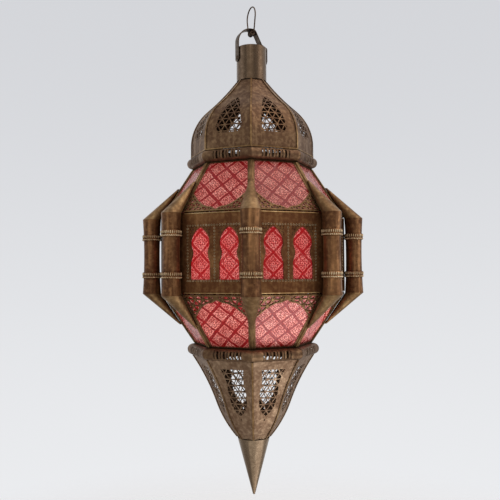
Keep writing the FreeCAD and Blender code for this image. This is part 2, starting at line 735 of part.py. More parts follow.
def box_ridges(half_length):
    """Folded edges at the top and the foot of a box side."""
    ridges = []
    for low in (z_box_foot + groove / 2.0, z_box_top - groove / 2.0 - ridge_height):
        ridges.append(Part.makeBox(ridge_proud, 2.0 * half_length, ridge_height,
                                   Vector(box_apothem, -half_length, low)))
    return ridges


def box_plate():
    plate = box_sheet(groove / 2.0, groove / 2.0).common(side_wedge(mitre_gap))
    return plate.fuse(box_ridges(ridge_half_length)).removeSplitter()


def door_opening(grow):
    half = door_half_width + grow
    low, high = z_box_foot + door_rail + door_gap - grow, z_box_top - door_rail - door_gap + grow
    return Part.makeBox(FAR, 2.0 * half, high - low, Vector(0, -half, low))


def pane(half_width, edge_gap):
    low, high = z_box_foot + edge_gap, z_box_top - edge_gap
    face = box_apothem - sheet - seat_gap
    return Part.makeBox(glass, 2.0 * half_width, high - low, Vector(face - glass, -half_width, low))


pane_edge = groove / 2.0 + hoop_height + seat_gap


def hoop(z_top):
    outer = box_apothem - sheet - seat_gap
    return octagon_ring(outer, outer - hoop_depth, z_top - hoop_height, z_top)


# ---- door ----
hinge_y = -door_half_width - door_gap / 2.0
hinge_x = box_apothem + seat_gap + hinge_knuckle


def door_plate():
    return box_sheet(0.0, 0.0).common(door_opening(0.0))


def door_frame():
    return box_plate().cut(door_opening(door_gap))


def hinge_levels():
    return (z_box_foot + hinge_inset, z_box_top - hinge_inset)


def hinge_strap(level, side):
    """A strap with its knuckles: side +1 lies on the door with one knuckle, -1 on the frame with two."""
    third = hinge_length / 3.0
    gap = swing_gap / 2.0
    middle, ends = [0.0], [-third, third]
    own, other = (middle, ends) if side > 0 else (ends, middle)
    length = hinge_leaf_strap if side > 0 else hinge_frame_strap
    corner = Vector(box_apothem + seat_gap, min(hinge_y, hinge_y + side * length), level - hinge_length / 2.0)
    strap = Part.makeBox(hinge_strap_thick, length, hinge_length, corner)
    for rise in own:
        strap = strap.fuse(Part.makeCylinder(hinge_knuckle, third - 2.0 * gap,
                                             Vector(hinge_x, hinge_y, level + rise - third / 2.0 + gap)))
    room = [Part.makeCylinder(hinge_knuckle + swing_gap, third + 2.0 * gap,
                              Vector(hinge_x, hinge_y, level + rise - third / 2.0 - gap)) for rise in other]
    bore = Part.makeCylinder(hinge_pin + running_gap, 2.0 * hinge_length,
                             Vector(hinge_x, hinge_y, level - hinge_length))
    return strap.cut(Part.makeCompound(room)).cut(bore).removeSplitter()


def hinge_pin_piece(level):
    tall = hinge_length + 2.0 * hinge_pin_stand
    pin = Part.makeCylinder(hinge_pin, tall, Vector(hinge_x, hinge_y, level - tall / 2.0))
    cap = Part.makeCylinder(hinge_pin * 1.6, hinge_pin_stand - seat_gap,
                            Vector(hinge_x, hinge_y, level + hinge_length / 2.0 + seat_gap))
    return pin.fuse(cap).removeSplitter()


def door_knob():
    y = door_half_width - knob_radius
    base = Vector(box_apothem + seat_gap / 4.0, y, (z_box_top + z_box_foot) / 2.0)
    along = Vector(1, 0, 0)
    foot = Part.makeCylinder(knob_radius, 1.0, base, along)
    stem = Part.makeCylinder(knob_radius * 0.45, knob_length - knob_radius, base, along)
    ball = Part.makeSphere(knob_radius, base + Vector(knob_length - knob_radius, 0, 0))
    return foot.fuse([stem, ball]).removeSplitter()


button_y = door_half_width + door_gap + button_side_gap
button_z = (z_box_top + z_box_foot) / 2.0 + button_rise


def turn_button():
    """A flat tongue that hangs from its pivot; turned level it lies over the door's edge."""
    x = box_apothem + swing_gap
    half = button_width / 2.0
    tongue = Part.makeBox(sheet, button_width, button_length - half,
                          Vector(x, button_y - half, button_z - button_length + half))
    along = Vector(1, 0, 0)
    ends = [Part.makeCylinder(half, sheet, Vector(x, button_y, z), along)
            for z in (button_z, button_z - button_length + half)]
    hole = Part.makeCylinder(button_pivot + running_gap, FAR, Vector(0, button_y, button_z), along)
    return tongue.fuse(ends).cut(hole).removeSplitter()


def button_rivet():
    along = Vector(1, 0, 0)
    foot = box_apothem + seat_gap / 4.0
    shank_end = box_apothem + swing_gap + sheet + seat_gap
    shank = Part.makeCylinder(button_pivot, shank_end - foot, Vector(foot, button_y, button_z), along)
    head = Part.makeCylinder(button_pivot * 1.7, sheet, Vector(shank_end, button_y, button_z), along)
    return shank.fuse(head).removeSplitter()


# ---- columns ----
def column_tube():
    """A sheet tube, slightly waisted, on the +X corner."""
    middle = (z_column_top + z_column_foot) / 2.0
    def side(shrink):
        foot, top = (Vector(column_flare - shrink, 0, z) for z in (z_column_foot, z_column_top))
        return Part.Arc(foot, Vector(column_waist - shrink, 0, middle), top).toShape()
    ends = [line((column_flare - sheet, z), (column_flare, z)) for z in (z_column_foot, z_column_top)]
    wall = Part.Face(Part.Wire(Part.__sortEdges__([side(0.0), side(sheet)] + ends)))
    tube = wall.revolve(Vector(0, 0, 0), Vector(0, 0, 1), 360)
    tube.translate(Vector(column_centre, 0, 0))
    return tube


def column_collar(level):
    """Two beads round the tube with a hollow between."""
    inner, waist = collar_radius - collar_wall, collar_radius - collar_wall / 2.0
    half = collar_height / 2.0
    low, high = level - half, level + half
    beads = [Part.Arc(Vector(waist, 0, end), Vector(collar_radius, 0, (end + level) / 2.0),
                      Vector(waist, 0, level)).toShape() for end in (low, high)]
    back = [line((waist, low), (inner, low)), line((inner, low), (inner, high)),
            line((inner, high), (waist, high))]
    section = Part.Face(Part.Wire(Part.__sortEdges__(beads + back)))
    ring = section.revolve(Vector(0, 0, 0), Vector(0, 0, 1), 360)
    ring.translate(Vector(column_centre, 0, 0))
    return ring


# ---- candle fitting ----
candle_bore = candle_rivet + seat_gap / 4.0
z_saucer = z_bar + sheet + seat_gap
z_socket = z_saucer + sheet + seat_gap


def candle_bar():
    """A flat bar that lies on the flanges of two opposite sides of the lower band."""
    reach = lower.apothem(lower.height - sheet - seat_gap, sheet + seat_gap + glass) - bar_clearance
    bar = Part.makeBox(2.0 * reach, bar_width, sheet, Vector(-reach, -bar_width / 2.0, z_bar))
    bore = Part.makeCylinder(candle_bore, 3.0 * sheet, Vector(0, 0, z_bar - sheet))
    return turned(bar.cut(bore), HALF_TURN)


def lathe(outline):
    return face_xz(outline).revolve(Vector(0, 0, 0), Vector(0, 0, 1), 360)


def candle_saucer():
    flat, slant = saucer_radius - saucer_lip, sheet * 0.4
    return lathe([(candle_bore, z_saucer), (flat, z_saucer), (saucer_radius, z_saucer + saucer_lip),
                  (saucer_radius - sheet, z_saucer + saucer_lip + slant), (flat - slant, z_saucer + sheet),
                  (candle_bore, z_saucer + sheet)])


def candle_socket():
    wall, top, floor = socket_radius - sheet, z_socket + socket_height, z_socket + sheet
    return lathe([(candle_bore, z_socket), (socket_radius, z_socket), (socket_radius, top), (wall, top),
                  (wall, floor), (candle_bore, floor)])


def candle_rivet_piece():
    fit = seat_gap / 4.0
    foot, top = z_bar - fit, z_socket + sheet + fit
    shank = Part.makeCylinder(candle_rivet, top - foot, Vector(0, 0, foot))
    ends = [Part.makeCylinder(candle_rivet_head, candle_rivet_head_height, Vector(0, 0, z))
            for z in (top, foot - candle_rivet_head_height)]
    return shank.fuse(ends).removeSplitter()


# ---- write the pieces ----
save("hanging_loop", turned(ring_of_wire(), bail_bearing))
save("loop_knot", turned(wire_knot(), bail_bearing))
save("bail_strap", turned(bail(), bail_bearing))
save("bail_rivets", *[turned(bail_rivet(), bail_bearing + half_turn) for half_turn in (0, 180)])
save("neck_tube", neck())

dome_holes = triangle_holes(dome_window, z_dome_foot + dome_window_foot, dome_window_height,
                            dome_rows, dome_cell, strand)
for number, side in enumerate(on_sides(gore(dome_outline(), dome_holes)), 1):
    save("dome_side_%d" % number, side)
save("dome_seams", *seams(dome_outline()))

save("upper_band", *on_sides(band(z_upper_band)))
bead_apothem = band_apothem + bead_reach
save("upper_band_bead",
     octagon_ring(bead_apothem, band_apothem + bead_inset, z_bead_top - bead_height, z_bead_top))

for name, slope in (("upper", upper), ("lower", lower)):
    save("%s_slope_frames" % name, *on_sides(slope.frame()))
    save("%s_slope_panes" % name, *on_sides(slope.pane()))
    save("%s_corner_strips" % name, *on_corners(slope.came()))
    save("%s_buttresses" % name, *on_corners(slope.buttress()))

fixed_sides = [side for side in range(SIDES) if side != door_side]
for number, side in enumerate(on_sides(box_plate(), fixed_sides), 1):
    save("box_side_%d" % number, side)
save("box_panes", *on_sides(pane(box_apothem * TAN - pane_corner_gap, pane_edge), fixed_sides))
save("upper_hoop", hoop(z_box_top - groove / 4.0))
save("lower_hoop", hoop(z_box_foot + groove / 4.0 + hoop_height))

save("door_frame", *on_sides(door_frame(), [door_side]))
save("door_plate", *on_sides(door_plate(), [door_side]))
save("door_pane", *on_sides(pane(door_half_width - door_pane_inset, pane_edge + seat_gap), [door_side]))
for name, make in (("door_hinge_leaves", lambda level: hinge_strap(level, 1)),
                   ("frame_hinge_leaves", lambda level: hinge_strap(level, -1)),
                   ("hinge_pins", hinge_pin_piece)):
    save(name, *[solid for level in hinge_levels() for solid in on_sides(make(level), [door_side])])
save("door_knob", *on_sides(door_knob(), [door_side]))
save("turn_button", *on_sides(turn_button(), [door_side]))
save("button_rivet", *on_sides(button_rivet(), [door_side]))

for number, tube in enumerate(on_corners(column_tube()), 1):
    save("column_%d" % number, tube)
collar_levels = (z_column_top - collar_inset, z_column_foot + collar_inset)
save("column_collars", *[ring for level in collar_levels for ring in on_corners(column_collar(level))])

save("candle_bar", candle_bar())
save("candle_saucer", candle_saucer())
save("candle_socket", candle_socket())
save("candle_rivet", candle_rivet_piece())

save("lower_band", *on_sides(band(z_lower_band)))
z_bowl_window = z_bowl_top - bowl_window_top - bowl_window_height
bowl_holes = triangle_holes(bowl_window, z_bowl_window, bowl_window_height, bowl_rows, bowl_cell, strand)
save("bowl_sides", *on_sides(gore(bowl_outline(), bowl_holes)))
save("bowl_seams", *seams(bowl_outline()))
save("spike", spike())
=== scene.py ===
# %% [markdown]
# # A brass and red glass lantern
# This lesson dresses a finished CAD model of an eight-sided hanging lantern. The CAD part fixes every size
# and every joint. Blender adds what the solids leave out: pierced brass, pressed glass, punched dots, crimps,
# rope edges and the worn colour of old brass. The first cell loads the CAD part as a frame that nobody moves.

# %% Load the fixed frame
import math
import bmesh
import bpy
import numpy as np
from mathutils import Matrix, Vector, geometry


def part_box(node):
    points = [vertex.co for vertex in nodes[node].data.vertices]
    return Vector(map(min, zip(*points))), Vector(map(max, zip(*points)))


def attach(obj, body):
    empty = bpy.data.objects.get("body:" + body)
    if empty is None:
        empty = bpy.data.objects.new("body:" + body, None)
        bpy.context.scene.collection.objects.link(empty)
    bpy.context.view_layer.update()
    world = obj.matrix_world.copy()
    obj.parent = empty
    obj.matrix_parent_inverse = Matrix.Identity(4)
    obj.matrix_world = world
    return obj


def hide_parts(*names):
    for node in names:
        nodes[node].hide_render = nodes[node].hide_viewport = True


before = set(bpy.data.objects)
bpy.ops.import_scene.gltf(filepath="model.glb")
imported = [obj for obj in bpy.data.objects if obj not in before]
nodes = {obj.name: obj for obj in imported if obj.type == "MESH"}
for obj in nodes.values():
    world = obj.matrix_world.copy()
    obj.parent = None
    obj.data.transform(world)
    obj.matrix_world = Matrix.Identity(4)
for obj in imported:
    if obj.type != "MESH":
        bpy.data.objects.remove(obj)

scene = bpy.context.scene
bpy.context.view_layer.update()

# %% [markdown]
# ## Sizes
# Everything is drawn in millimetres, as a metalworker would, and made metres when a mesh is written. The
# lantern repeats on eight sides, so a piece is drawn once with its face towards +X and then turned round the
# upright axis.

# %% Sizes that several steps share
MM = 0.001
SIDES = 8
HALF_TURN = math.pi / SIDES
TAN, COS = math.tan(HALF_TURN), math.cos(HALF_TURN)
SHEET = 0.8
SIDE_GAP = 0.15     # from a side's edge to the corner line


def level(node, top=True):
    """The highest or lowest level of a CAD node, in millimetres."""
    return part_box(node)[1 if top else 0][2] / MM


dome_foot, dome_top = level("dome_side_1", False), level("dome_side_1")
bowl_foot, bowl_rim = level("bowl_sides", False), level("bowl_sides")
hoop_inset = 0.4    # how far the hoops lie inside the box's ends
box_foot, box_top = level("lower_hoop", False) - hoop_inset, level("upper_hoop") + hoop_inset
column_foot, column_top = level("column_1", False), level("column_1")
box_corner = 137.5
box_apothem = box_corner * COS
print("box from", round(box_foot, 1), "to", round(box_top, 1), "dome foot", round(dome_foot, 1))

# %% [markdown]
# ## Camera
# The photo was taken close, almost level with the lantern's middle, with one corner in front. A perspective
# fit of the columns, bands and spike gives the distance, the lens and a very small tilt and roll.

# %% Camera at the photo's place
camera_distance, camera_height = 0.9486, -0.404
camera_turn, camera_tilt, camera_roll = (math.radians(angle) for angle in (0.8, 92.16, -0.35))
camera_data = bpy.data.cameras.new("camera")
camera_data.sensor_width = 36.0
camera_data.lens = 45.53
camera_data.shift_x = -0.0052
camera = bpy.data.objects.new("camera", camera_data)
scene.collection.objects.link(camera)
spot = (camera_distance * math.sin(camera_turn), -camera_distance * math.cos(camera_turn), camera_height)
camera.matrix_world = (Matrix.Translation(spot) @ Matrix.Rotation(camera_turn, 4, "Z")
                       @ Matrix.Rotation(camera_tilt, 4, "X") @ Matrix.Rotation(camera_roll, 4, "Z"))
scene.camera = camera
print("camera at", [round(value, 3) for value in camera.location])

# %% [markdown]
# ## Light and background
# The lantern hangs before a pale wall. A plain world gives the soft light, and six soft lamps shape the
# metal. Light Path sets apart what the camera sees, what the brass mirrors and what shows through the glass,
# so the wall can be pale without bleaching the brass. The mirrored room is darker on the viewer's side,
# because brass that reflects the same white everywhere looks like paint. It has two bright places on the
# right, high and low, and an upright pale strip on the viewer's side. Two flags hide some lamps from the
# brass and from the glass, where they would show as spots or haze.

# %% A helper that links shader nodes
class Nodes:
    """A node tree with short calls: add a node, link values into its inputs, set its options."""

    def __init__(self, tree):
        self.tree = tree
        tree.nodes.clear()

    def add(self, kind, inputs=None, **options):
        node = self.tree.nodes.new(kind)
        for name, value in options.items():
            setattr(node, name, value)
        for key, value in (inputs or {}).items():
            socket = node.inputs[key]
            if isinstance(value, bpy.types.NodeSocket):
                self.tree.links.new(value, socket)
            else:
                socket.default_value = value
        return node

    def out(self, kind, inputs=None, **options):
        """The first output of a new node."""
        return self.add(kind, inputs, **options).outputs[0]

    def math(self, operation, a, b=0.0, clamp=False):
        return self.out("ShaderNodeMath", {0: a, 1: b}, operation=operation, use_clamp=clamp)

    def times(self, a, b, clamp=False):
        return self.math("MULTIPLY", a, b, clamp)

    def plus(self, a, b, clamp=False):
        return self.math("ADD", a, b, clamp)

    def minus(self, a, b):
        return self.math("SUBTRACT", a, b)

    def most(self, a, b):
        return self.math("MAXIMUM", a, b)

    def vector(self, operation, a, b=(0.0, 0.0, 0.0)):
        """Works on vectors; LENGTH and DOT_PRODUCT give a number, and for SCALE b is one."""
        node = self.add("ShaderNodeVectorMath", {0: a, "Scale" if operation == "SCALE" else 1: b},
                        operation=operation)
        return node.outputs["Value" if operation in ("LENGTH", "DOT_PRODUCT") else "Vector"]

    def split(self, value):
        return self.add("ShaderNodeSeparateXYZ", {0: value}).outputs

    def mix(self, share, a, b):
        return self.add("ShaderNodeMix", {0: share, 6: a, 7: b}, data_type="RGBA").outputs[2]

    def ramp(self, value, low, high):
        """Takes value from 0 at low to 1 at high, with soft ends."""
        return self.out("ShaderNodeMapRange", {0: value, 1: low, 2: high},
                        interpolation_type="SMOOTHSTEP")

    def noise(self, vector, scale, detail=4.0, stretch=None):
        if stretch:
            vector = self.out("ShaderNodeMapping", {0: vector, 3: stretch})
        return self.add("ShaderNodeTexNoise", {"Vector": vector, "Scale": scale,
                                               "Detail": detail}).outputs["Fac"]


def new_material(name):
    """An empty material and the nodes to fill it with."""
    material = bpy.data.materials.new(name)
    material.use_nodes = True
    return material, Nodes(material.node_tree)


# %% World and lamps
world = bpy.data.worlds.new("pale_room")
world.use_nodes = True
scene.world = world
w = Nodes(world.node_tree)
direction = w.add("ShaderNodeTexCoord").outputs["Generated"]
x, y, z = w.split(direction)
wall = w.mix(w.ramp(z, -0.45, 0.45), (0.84, 0.85, 0.87, 1), (0.66, 0.67, 0.70, 1))
room = w.mix(w.ramp(y, -0.55, 0.45), (0.27, 0.26, 0.25, 1), (0.76, 0.76, 0.77, 1))
room = w.mix(w.times(w.ramp(z, -0.30, -0.62), 0.85), room, (0.26, 0.24, 0.22, 1))
off_strip = w.math("ABSOLUTE", w.plus(x, 0.15))
strip = w.times(w.ramp(off_strip, 0.44, 0.30), w.ramp(y, -0.15, -0.45))
room = w.mix(strip, room, (0.88, 0.84, 0.77, 1))
for towards, near, far, bright in (((0.50, -0.13, 0.86), 0.94, 0.70, (1.85, 1.62, 1.48, 1)),
                                   ((0.60, -0.38, -0.70), 0.97, 0.80, (1.75, 1.66, 1.58, 1))):
    room = w.mix(w.ramp(w.vector("DOT_PRODUCT", direction, towards), far, near), room, bright)
beyond = w.mix(w.ramp(w.math("ABSOLUTE", z), 0.05, 0.12), (1.35, 1.15, 1.15, 1), (1.8, 1.65, 1.65, 1))
path = w.add("ShaderNodeLightPath").outputs
seen = w.plus(path["Is Camera Ray"], path["Is Transmission Ray"], clamp=True)
colour = w.mix(path["Is Transmission Ray"], w.mix(path["Is Camera Ray"], room, wall), beyond)
strength = w.mix(w.plus(seen, path["Is Glossy Ray"], clamp=True), (0.75, 0.75, 0.75, 1), (1, 1, 1, 1))
background = w.out("ShaderNodeBackground", {0: colour, 1: strength})
w.add("ShaderNodeOutputWorld", {0: background})


def soft_lamp(name, place, aim, size, power, colour, mirrored=True, in_glass=True):
    lamp = bpy.data.lights.new(name, "AREA")
    lamp.shape, lamp.size, lamp.energy, lamp.color = "DISK", size, power, colour
    item = bpy.data.objects.new(name, lamp)
    item.location = place
    item.rotation_euler = (Vector(aim) - Vector(place)).to_track_quat("-Z", "Y").to_euler()
    item.visible_camera = False
    item.visible_glossy = mirrored
    item.visible_transmission = in_glass
    scene.collection.objects.link(item)


middle = (0.0, 0.0, -0.38)
soft_lamp("lamp_right", (1.08, -0.62, 1.22), middle, 1.2, 12.0, (1.0, 0.96, 0.92),
          mirrored=False, in_glass=False)
soft_lamp("lamp_low_right", (0.34, -0.20, -1.0), (0.32, -0.19, 0.0), 0.62, 9.0, (1.0, 0.97, 0.95),
          mirrored=False)
soft_lamp("lamp_left_side", (-1.7, -0.45, 0.15), middle, 1.3, 3.0, (0.96, 0.98, 1.0))
soft_lamp("lamp_right_side", (1.7, -0.50, 0.0), middle, 1.3, 6.5, (1.0, 0.97, 0.94))
soft_lamp("lamp_left_front", (-1.15, -1.25, -0.38), middle, 0.9, 22.0, (1.0, 0.98, 0.97),
          mirrored=False, in_glass=False)
soft_lamp("lamp_back", (0.3, 1.6, 0.5), middle, 1.4, 10.0, (1.0, 1.0, 1.0), mirrored=False)
scene.view_settings.view_transform = "Standard"

# %% [markdown]
# The lantern hangs, so the floor is well below it. It is a pale round sheet whose edge fades out, which
# leaves no horizon line behind the lantern, from whatever height it is seen. The brass doesn't mirror it.

# %% Floor
def ring_points(x, y, across, up, count, start=0.0):
    """Points round an ellipse with the half axes across and up."""
    return [(x + across * math.cos(a), y + up * math.sin(a))
            for a in np.linspace(start, 2 * math.pi + start, count, endpoint=False)]


floor_level, floor_radius, floor_corners = -1.05, 1.3, 64
solid_to, gone_at = 0.35, 0.98      # shares of the radius between which the floor fades out
rim = [(x, y, floor_level) for x, y in ring_points(0.0, 0.0, floor_radius, floor_radius, floor_corners)]
floor_mesh = bpy.data.meshes.new("floor")
floor_mesh.from_pydata(rim, [], [list(range(floor_corners))])
floor = bpy.data.objects.new("floor", floor_mesh)
scene.collection.objects.link(floor)
floor_paint, n = new_material("pale_floor")
place = n.add("ShaderNodeTexCoord").outputs["Object"]
from_middle = n.vector("LENGTH", n.vector("MULTIPLY", place, (1, 1, 0)))
solid_share = n.ramp(from_middle, floor_radius * gone_at, floor_radius * solid_to)
paint = n.out("ShaderNodeBsdfDiffuse", {0: (0.66, 0.665, 0.675, 1)})
clear = n.out("ShaderNodeBsdfTransparent")
blend = n.out("ShaderNodeMixShader", {0: solid_share, 1: clear, 2: paint})
n.add("ShaderNodeOutputMaterial", {0: blend})
floor_mesh.materials.append(floor_paint)
floor.visible_glossy = False
print("floor at", floor_level, "m, radius", floor_radius, "m")

# %% [markdown]
# ## Aged brass
# Old brass is brown where nobody touches it and yellow where hands and cloths rub it. One recipe makes all
# the finishes: a dark and a light colour are mixed by cloudy noise at two sizes and by upright streaks, for
# tarnish that ran down. Small specks darken it. Ambient Occlusion paints shade into the corners and recesses,
# a darker brown that also makes them rougher. The colour noise drives roughness too, because the rubbed
# places are also the smoother ones, and a low bump makes the sheet look beaten by hand and not rolled. A
# painted image would need every piece unwrapped, and noise on Object coordinates fits them all.

# %% Aged brass recipe
def aged_brass(name, dark, light, shine=0.40, clouds=0.5, streaks=0.35, dents=0.25):
    material, n = new_material(name)
    place = n.add("ShaderNodeTexCoord").outputs["Object"]
    big = n.ramp(n.noise(place, 22.0, 3.0), 0.60 - 0.3 * clouds, 0.95 - 0.3 * clouds)
    fine = n.ramp(n.noise(place, 210.0, 5.0), 0.42, 0.72)
    run = n.ramp(n.noise(place, 60.0, 3.0, stretch=(3.0, 3.0, 0.22)), 0.45, 0.75)
    worn = n.plus(n.times(big, 0.55), n.times(fine, 0.36))
    worn = n.plus(worn, n.times(run, streaks), clamp=True)
    colour = n.mix(worn, dark, light)
    specks = n.ramp(n.noise(place, 480.0, 2.0), 0.66, 0.74)
    brown = tuple(0.45 * value for value in dark[:3]) + (1,)
    colour = n.mix(n.times(specks, 0.7), colour, brown)
    # Painted shade: Ambient Occlusion darkens the colour in corners and recesses, and makes them rougher.
    nearby = n.add("ShaderNodeAmbientOcclusion", {"Distance": 0.0035}, samples=6).outputs["AO"]
    painted_shade = n.ramp(nearby, 0.88, 0.45)
    colour = n.mix(n.times(painted_shade, 0.9), colour, tuple(0.3 * value for value in dark[:3]) + (1,))
    rough = n.minus(shine + 0.16, n.times(worn, 0.22))
    rough = n.plus(rough, n.times(n.most(specks, painted_shade), 0.15), clamp=True)
    beaten = n.noise(place, 55.0, 2.0)
    grain = n.noise(place, 900.0, 2.0, stretch=(1.0, 1.0, 0.35))
    low = n.out("ShaderNodeBump", {"Strength": dents, "Distance": 0.004, "Height": beaten})
    high = n.out("ShaderNodeBump", {"Strength": 0.10, "Distance": 0.0004, "Height": grain,
                                    "Normal": low})
    shader = n.out("ShaderNodeBsdfPrincipled", {"Base Color": colour, "Metallic": 0.9, "Roughness": rough,
                                                "Normal": high})
    n.add("ShaderNodeOutputMaterial", {0: shader})
    return material


brass_plain = aged_brass("aged_brass", (0.105, 0.041, 0.016, 1), (0.32, 0.165, 0.068, 1))
brass_dome = aged_brass("dome_brass", (0.110, 0.060, 0.034, 1), (0.34, 0.22, 0.120, 1), clouds=0.30)
brass_bowl = aged_brass("bowl_brass", (0.165, 0.098, 0.060, 1), (0.46, 0.33, 0.22, 1), clouds=0.45)
brass_frame = aged_brass("frame_brass", (0.15, 0.082, 0.036, 1), (0.38, 0.25, 0.12, 1), clouds=0.6)
brass_column = aged_brass("column_brass", (0.088, 0.038, 0.017, 1), (0.33, 0.17, 0.075, 1), streaks=0.6)
brass_rubbed = aged_brass("rubbed_brass", (0.34, 0.20, 0.085, 1), (0.72, 0.53, 0.28, 1), shine=0.30)
brass_spike = aged_brass("spike_brass", (0.18, 0.128, 0.084, 1), (0.30, 0.225, 0.155, 1), shine=0.15,
                         dents=0.05, clouds=0.3, streaks=0.5)
brass_neck = aged_brass("neck_brass", (0.115, 0.076, 0.048, 1), (0.22, 0.155, 0.105, 1), shine=0.17,
                        dents=0.08, clouds=0.3, streaks=0.5)
bail_metal = aged_brass("bail_metal", (0.060, 0.042, 0.030, 1), (0.17, 0.125, 0.090, 1), shine=0.36)
brass_bright = aged_brass("bright_brass", (0.45, 0.32, 0.18, 1), (0.88, 0.76, 0.54, 1), shine=0.24)
iron_wire = aged_brass("loop_iron", (0.060, 0.038, 0.026, 1), (0.15, 0.105, 0.075, 1), shine=0.42)
print("brass finishes:", sum("brass" in m.name for m in bpy.data.materials))

# %% [markdown]
# ## Red pressed glass
# The panes are pressed in a mould: lozenges with a raised flower, border lines and beads stand between smooth
# bands. The bands show the deep red of the glass, and the raised parts are frosted and look pink, with
# painted glints on them. The pattern is worked out from the pane's own UV map, in millimetres, so that it
# lies in each pane's plane whichever way the pane faces. The raised height feeds Bump, the same height
# lightens the colour, and the glass is clear enough for the far wall to glow through it. Ambient Occlusion
# paints shade on the places close behind pierced brass, which are darker and less clear.

# %% Pressed glass recipe
def pressed_glass(name, red, pink, tile_width=20.3, band=0.065, clearness=0.60, twin=0.0):
    """tile_width is the pitch of the lozenges in millimetres, band the smooth share on each side of one. With
    two windows in a pane the pattern is centred on both, twin millimetres from the middle."""
    material, n = new_material(name)
    place = n.out("ShaderNodeUVMap", uv_map="pane")
    drift = n.add("ShaderNodeTexNoise", {"Vector": place, "Scale": 0.05, "Detail": 1.0}).outputs["Color"]
    drift = n.vector("SCALE", n.vector("SUBTRACT", drift, (0.5, 0.5, 0.5)), 3.0)
    start = place
    if twin:
        u, v, _ = n.split(place)
        start = n.out("ShaderNodeCombineXYZ", {0: n.minus(n.math("ABSOLUTE", u), twin), 1: v})
    turned = n.out("ShaderNodeMapping", {0: n.vector("ADD", start, drift), 2: (0, 0, math.radians(45)),
                                         3: (1 / tile_width, 1 / tile_width, 1)})
    cell = n.vector("SUBTRACT", n.vector("FRACTION", turned), (0.5, 0.5, 0))
    flat = n.vector("MULTIPLY", cell, (1, 1, 0))
    u, v, _ = n.split(flat)
    ax, ay = n.math("ABSOLUTE", u), n.math("ABSOLUTE", v)
    square = n.most(ax, ay)
    worn_band = n.times(n.ramp(n.noise(place, 0.09, 2.0), 0.50, 0.72), band)
    inside = n.ramp(n.minus(square, worn_band), 0.5 - band, 0.45 - band)
    radius = n.vector("LENGTH", flat)
    angle = n.math("ARCTAN2", v, u)
    petals = n.times(n.math("COSINE", n.times(angle, 8.0)), 0.055)

    def ridge(distance, place_of_ridge, half_width):
        away = n.math("ABSOLUTE", n.minus(distance, place_of_ridge))
        return n.ramp(away, half_width, half_width * 0.2)

    flower = n.most(ridge(radius, n.plus(petals, 0.25), 0.045), ridge(radius, 0.09, 0.050))
    border = n.most(ridge(square, 0.43 - band, 0.035), ridge(n.plus(ax, ay), 0.50, 0.030))
    beads = n.add("ShaderNodeTexVoronoi", {"Vector": place, "Scale": 0.44, "Randomness": 0.9})
    bead = n.ramp(beads.outputs["Distance"], 0.46, 0.20)
    glint = n.ramp(beads.outputs["Distance"], 0.33, 0.14)
    broken = n.ramp(n.noise(place, 0.35, 2.0), 0.30, 0.62)
    lines = n.times(n.most(flower, border), n.times(broken, 0.95))
    relief = n.times(n.most(lines, n.times(bead, 0.65)), inside)
    ripple = n.noise(place, 0.11, 2.0)
    height = n.plus(relief, n.times(ripple, 0.15))
    height = n.plus(height, n.times(inside, 0.5))
    bump = n.out("ShaderNodeBump", {"Strength": 0.30, "Distance": 0.0008, "Height": height})
    cloudy = n.ramp(n.noise(place, 0.045, 2.0), 0.35, 0.70)
    frost = n.times(relief, n.plus(0.45, n.times(cloudy, 0.40)))
    frost = n.plus(frost, n.times(inside, 0.10), clamp=True)
    colour = n.mix(frost, red, pink)
    patchy = n.plus(0.25, n.times(cloudy, 0.55))
    # Painted glints: near-white specks mixed into the colour on the raised parts, in patches.
    glint = n.times(n.times(glint, n.most(inside, 0.50)), patchy)
    colour = n.mix(glint, colour, (1.0, 0.80, 0.72, 1))
    # Painted shade: Ambient Occlusion darkens the glass close behind the pierced brass and makes it less
    # clear.
    nearby = n.add("ShaderNodeAmbientOcclusion", {"Distance": 0.005}, samples=6).outputs["AO"]
    painted_shade = n.ramp(nearby, 0.90, 0.52)
    colour = n.mix(painted_shade, colour, (0.035, 0.014, 0.008, 1))
    rough = n.plus(0.24, n.times(frost, 0.16))
    clear = n.minus(clearness, n.times(n.most(frost, glint), 0.40))
    clear = n.times(clear, n.minus(1.0, painted_shade), clamp=True)
    shader = n.out("ShaderNodeBsdfPrincipled", {"Base Color": colour, "Roughness": rough, "IOR": 1.42,
                                                "Transmission Weight": clear, "Normal": bump})
    n.add("ShaderNodeOutputMaterial", {0: shader})
    return material


red_glass = pressed_glass("red_pressed_glass", (0.42, 0.002, 0.006, 1), (1.0, 0.45, 0.37, 1))
window_glass = pressed_glass("red_window_glass", (0.80, 0.002, 0.008, 1), (1.0, 0.36, 0.33, 1), band=0.05,
                             clearness=0.66, twin=21.2)
print("glass:", red_glass.name, window_glass.name)

# %% [markdown]
# ## From flat drawings to solid sheet
# A coppersmith draws on flat sheet, cuts, and then bends. The helpers do the same. `cut_sheet` takes an
# outline, the windows to cut out and the strands to leave across them, and divides the sheet into triangles
# along every line. `bend_sheet` gives it a thickness and puts each point where the bent sheet has it. Rungs
# are extra lines across the sheet, so that it can curve between them. A boolean modifier could cut the
# windows too, but it is slow and leaves ragged faces on hundreds of thin strands.

# %% Cutting and bending helpers
def cut_sheet(outline, windows=(), pierced=(), strands=(), rungs=()):
    """Points and triangles of a sheet. Windows are cut out; pierced places keep only the strands."""
    points, loops, edges, kinds = [], [], [], []
    for kind, group in (("sheet", [outline]), ("window", windows), ("pierced", pierced), ("strand", strands)):
        for loop in group:
            loops.append(list(range(len(points), len(points) + len(loop))))
            points.extend(loop)
            kinds.append(kind)
    for rung in rungs:
        edges.append((len(points), len(points) + 1))
        points.extend(rung)
    made = geometry.delaunay_2d_cdt([Vector(point) for point in points], edges, loops, 0, 1e-5)
    keep = []
    for face, parents in zip(made[2], made[5]):
        inside = {kinds[parent] for parent in parents}
        if "sheet" in inside and "window" not in inside and ("pierced" not in inside or "strand" in inside):
            keep.append(list(face))
    return [tuple(point) for point in made[0]], keep


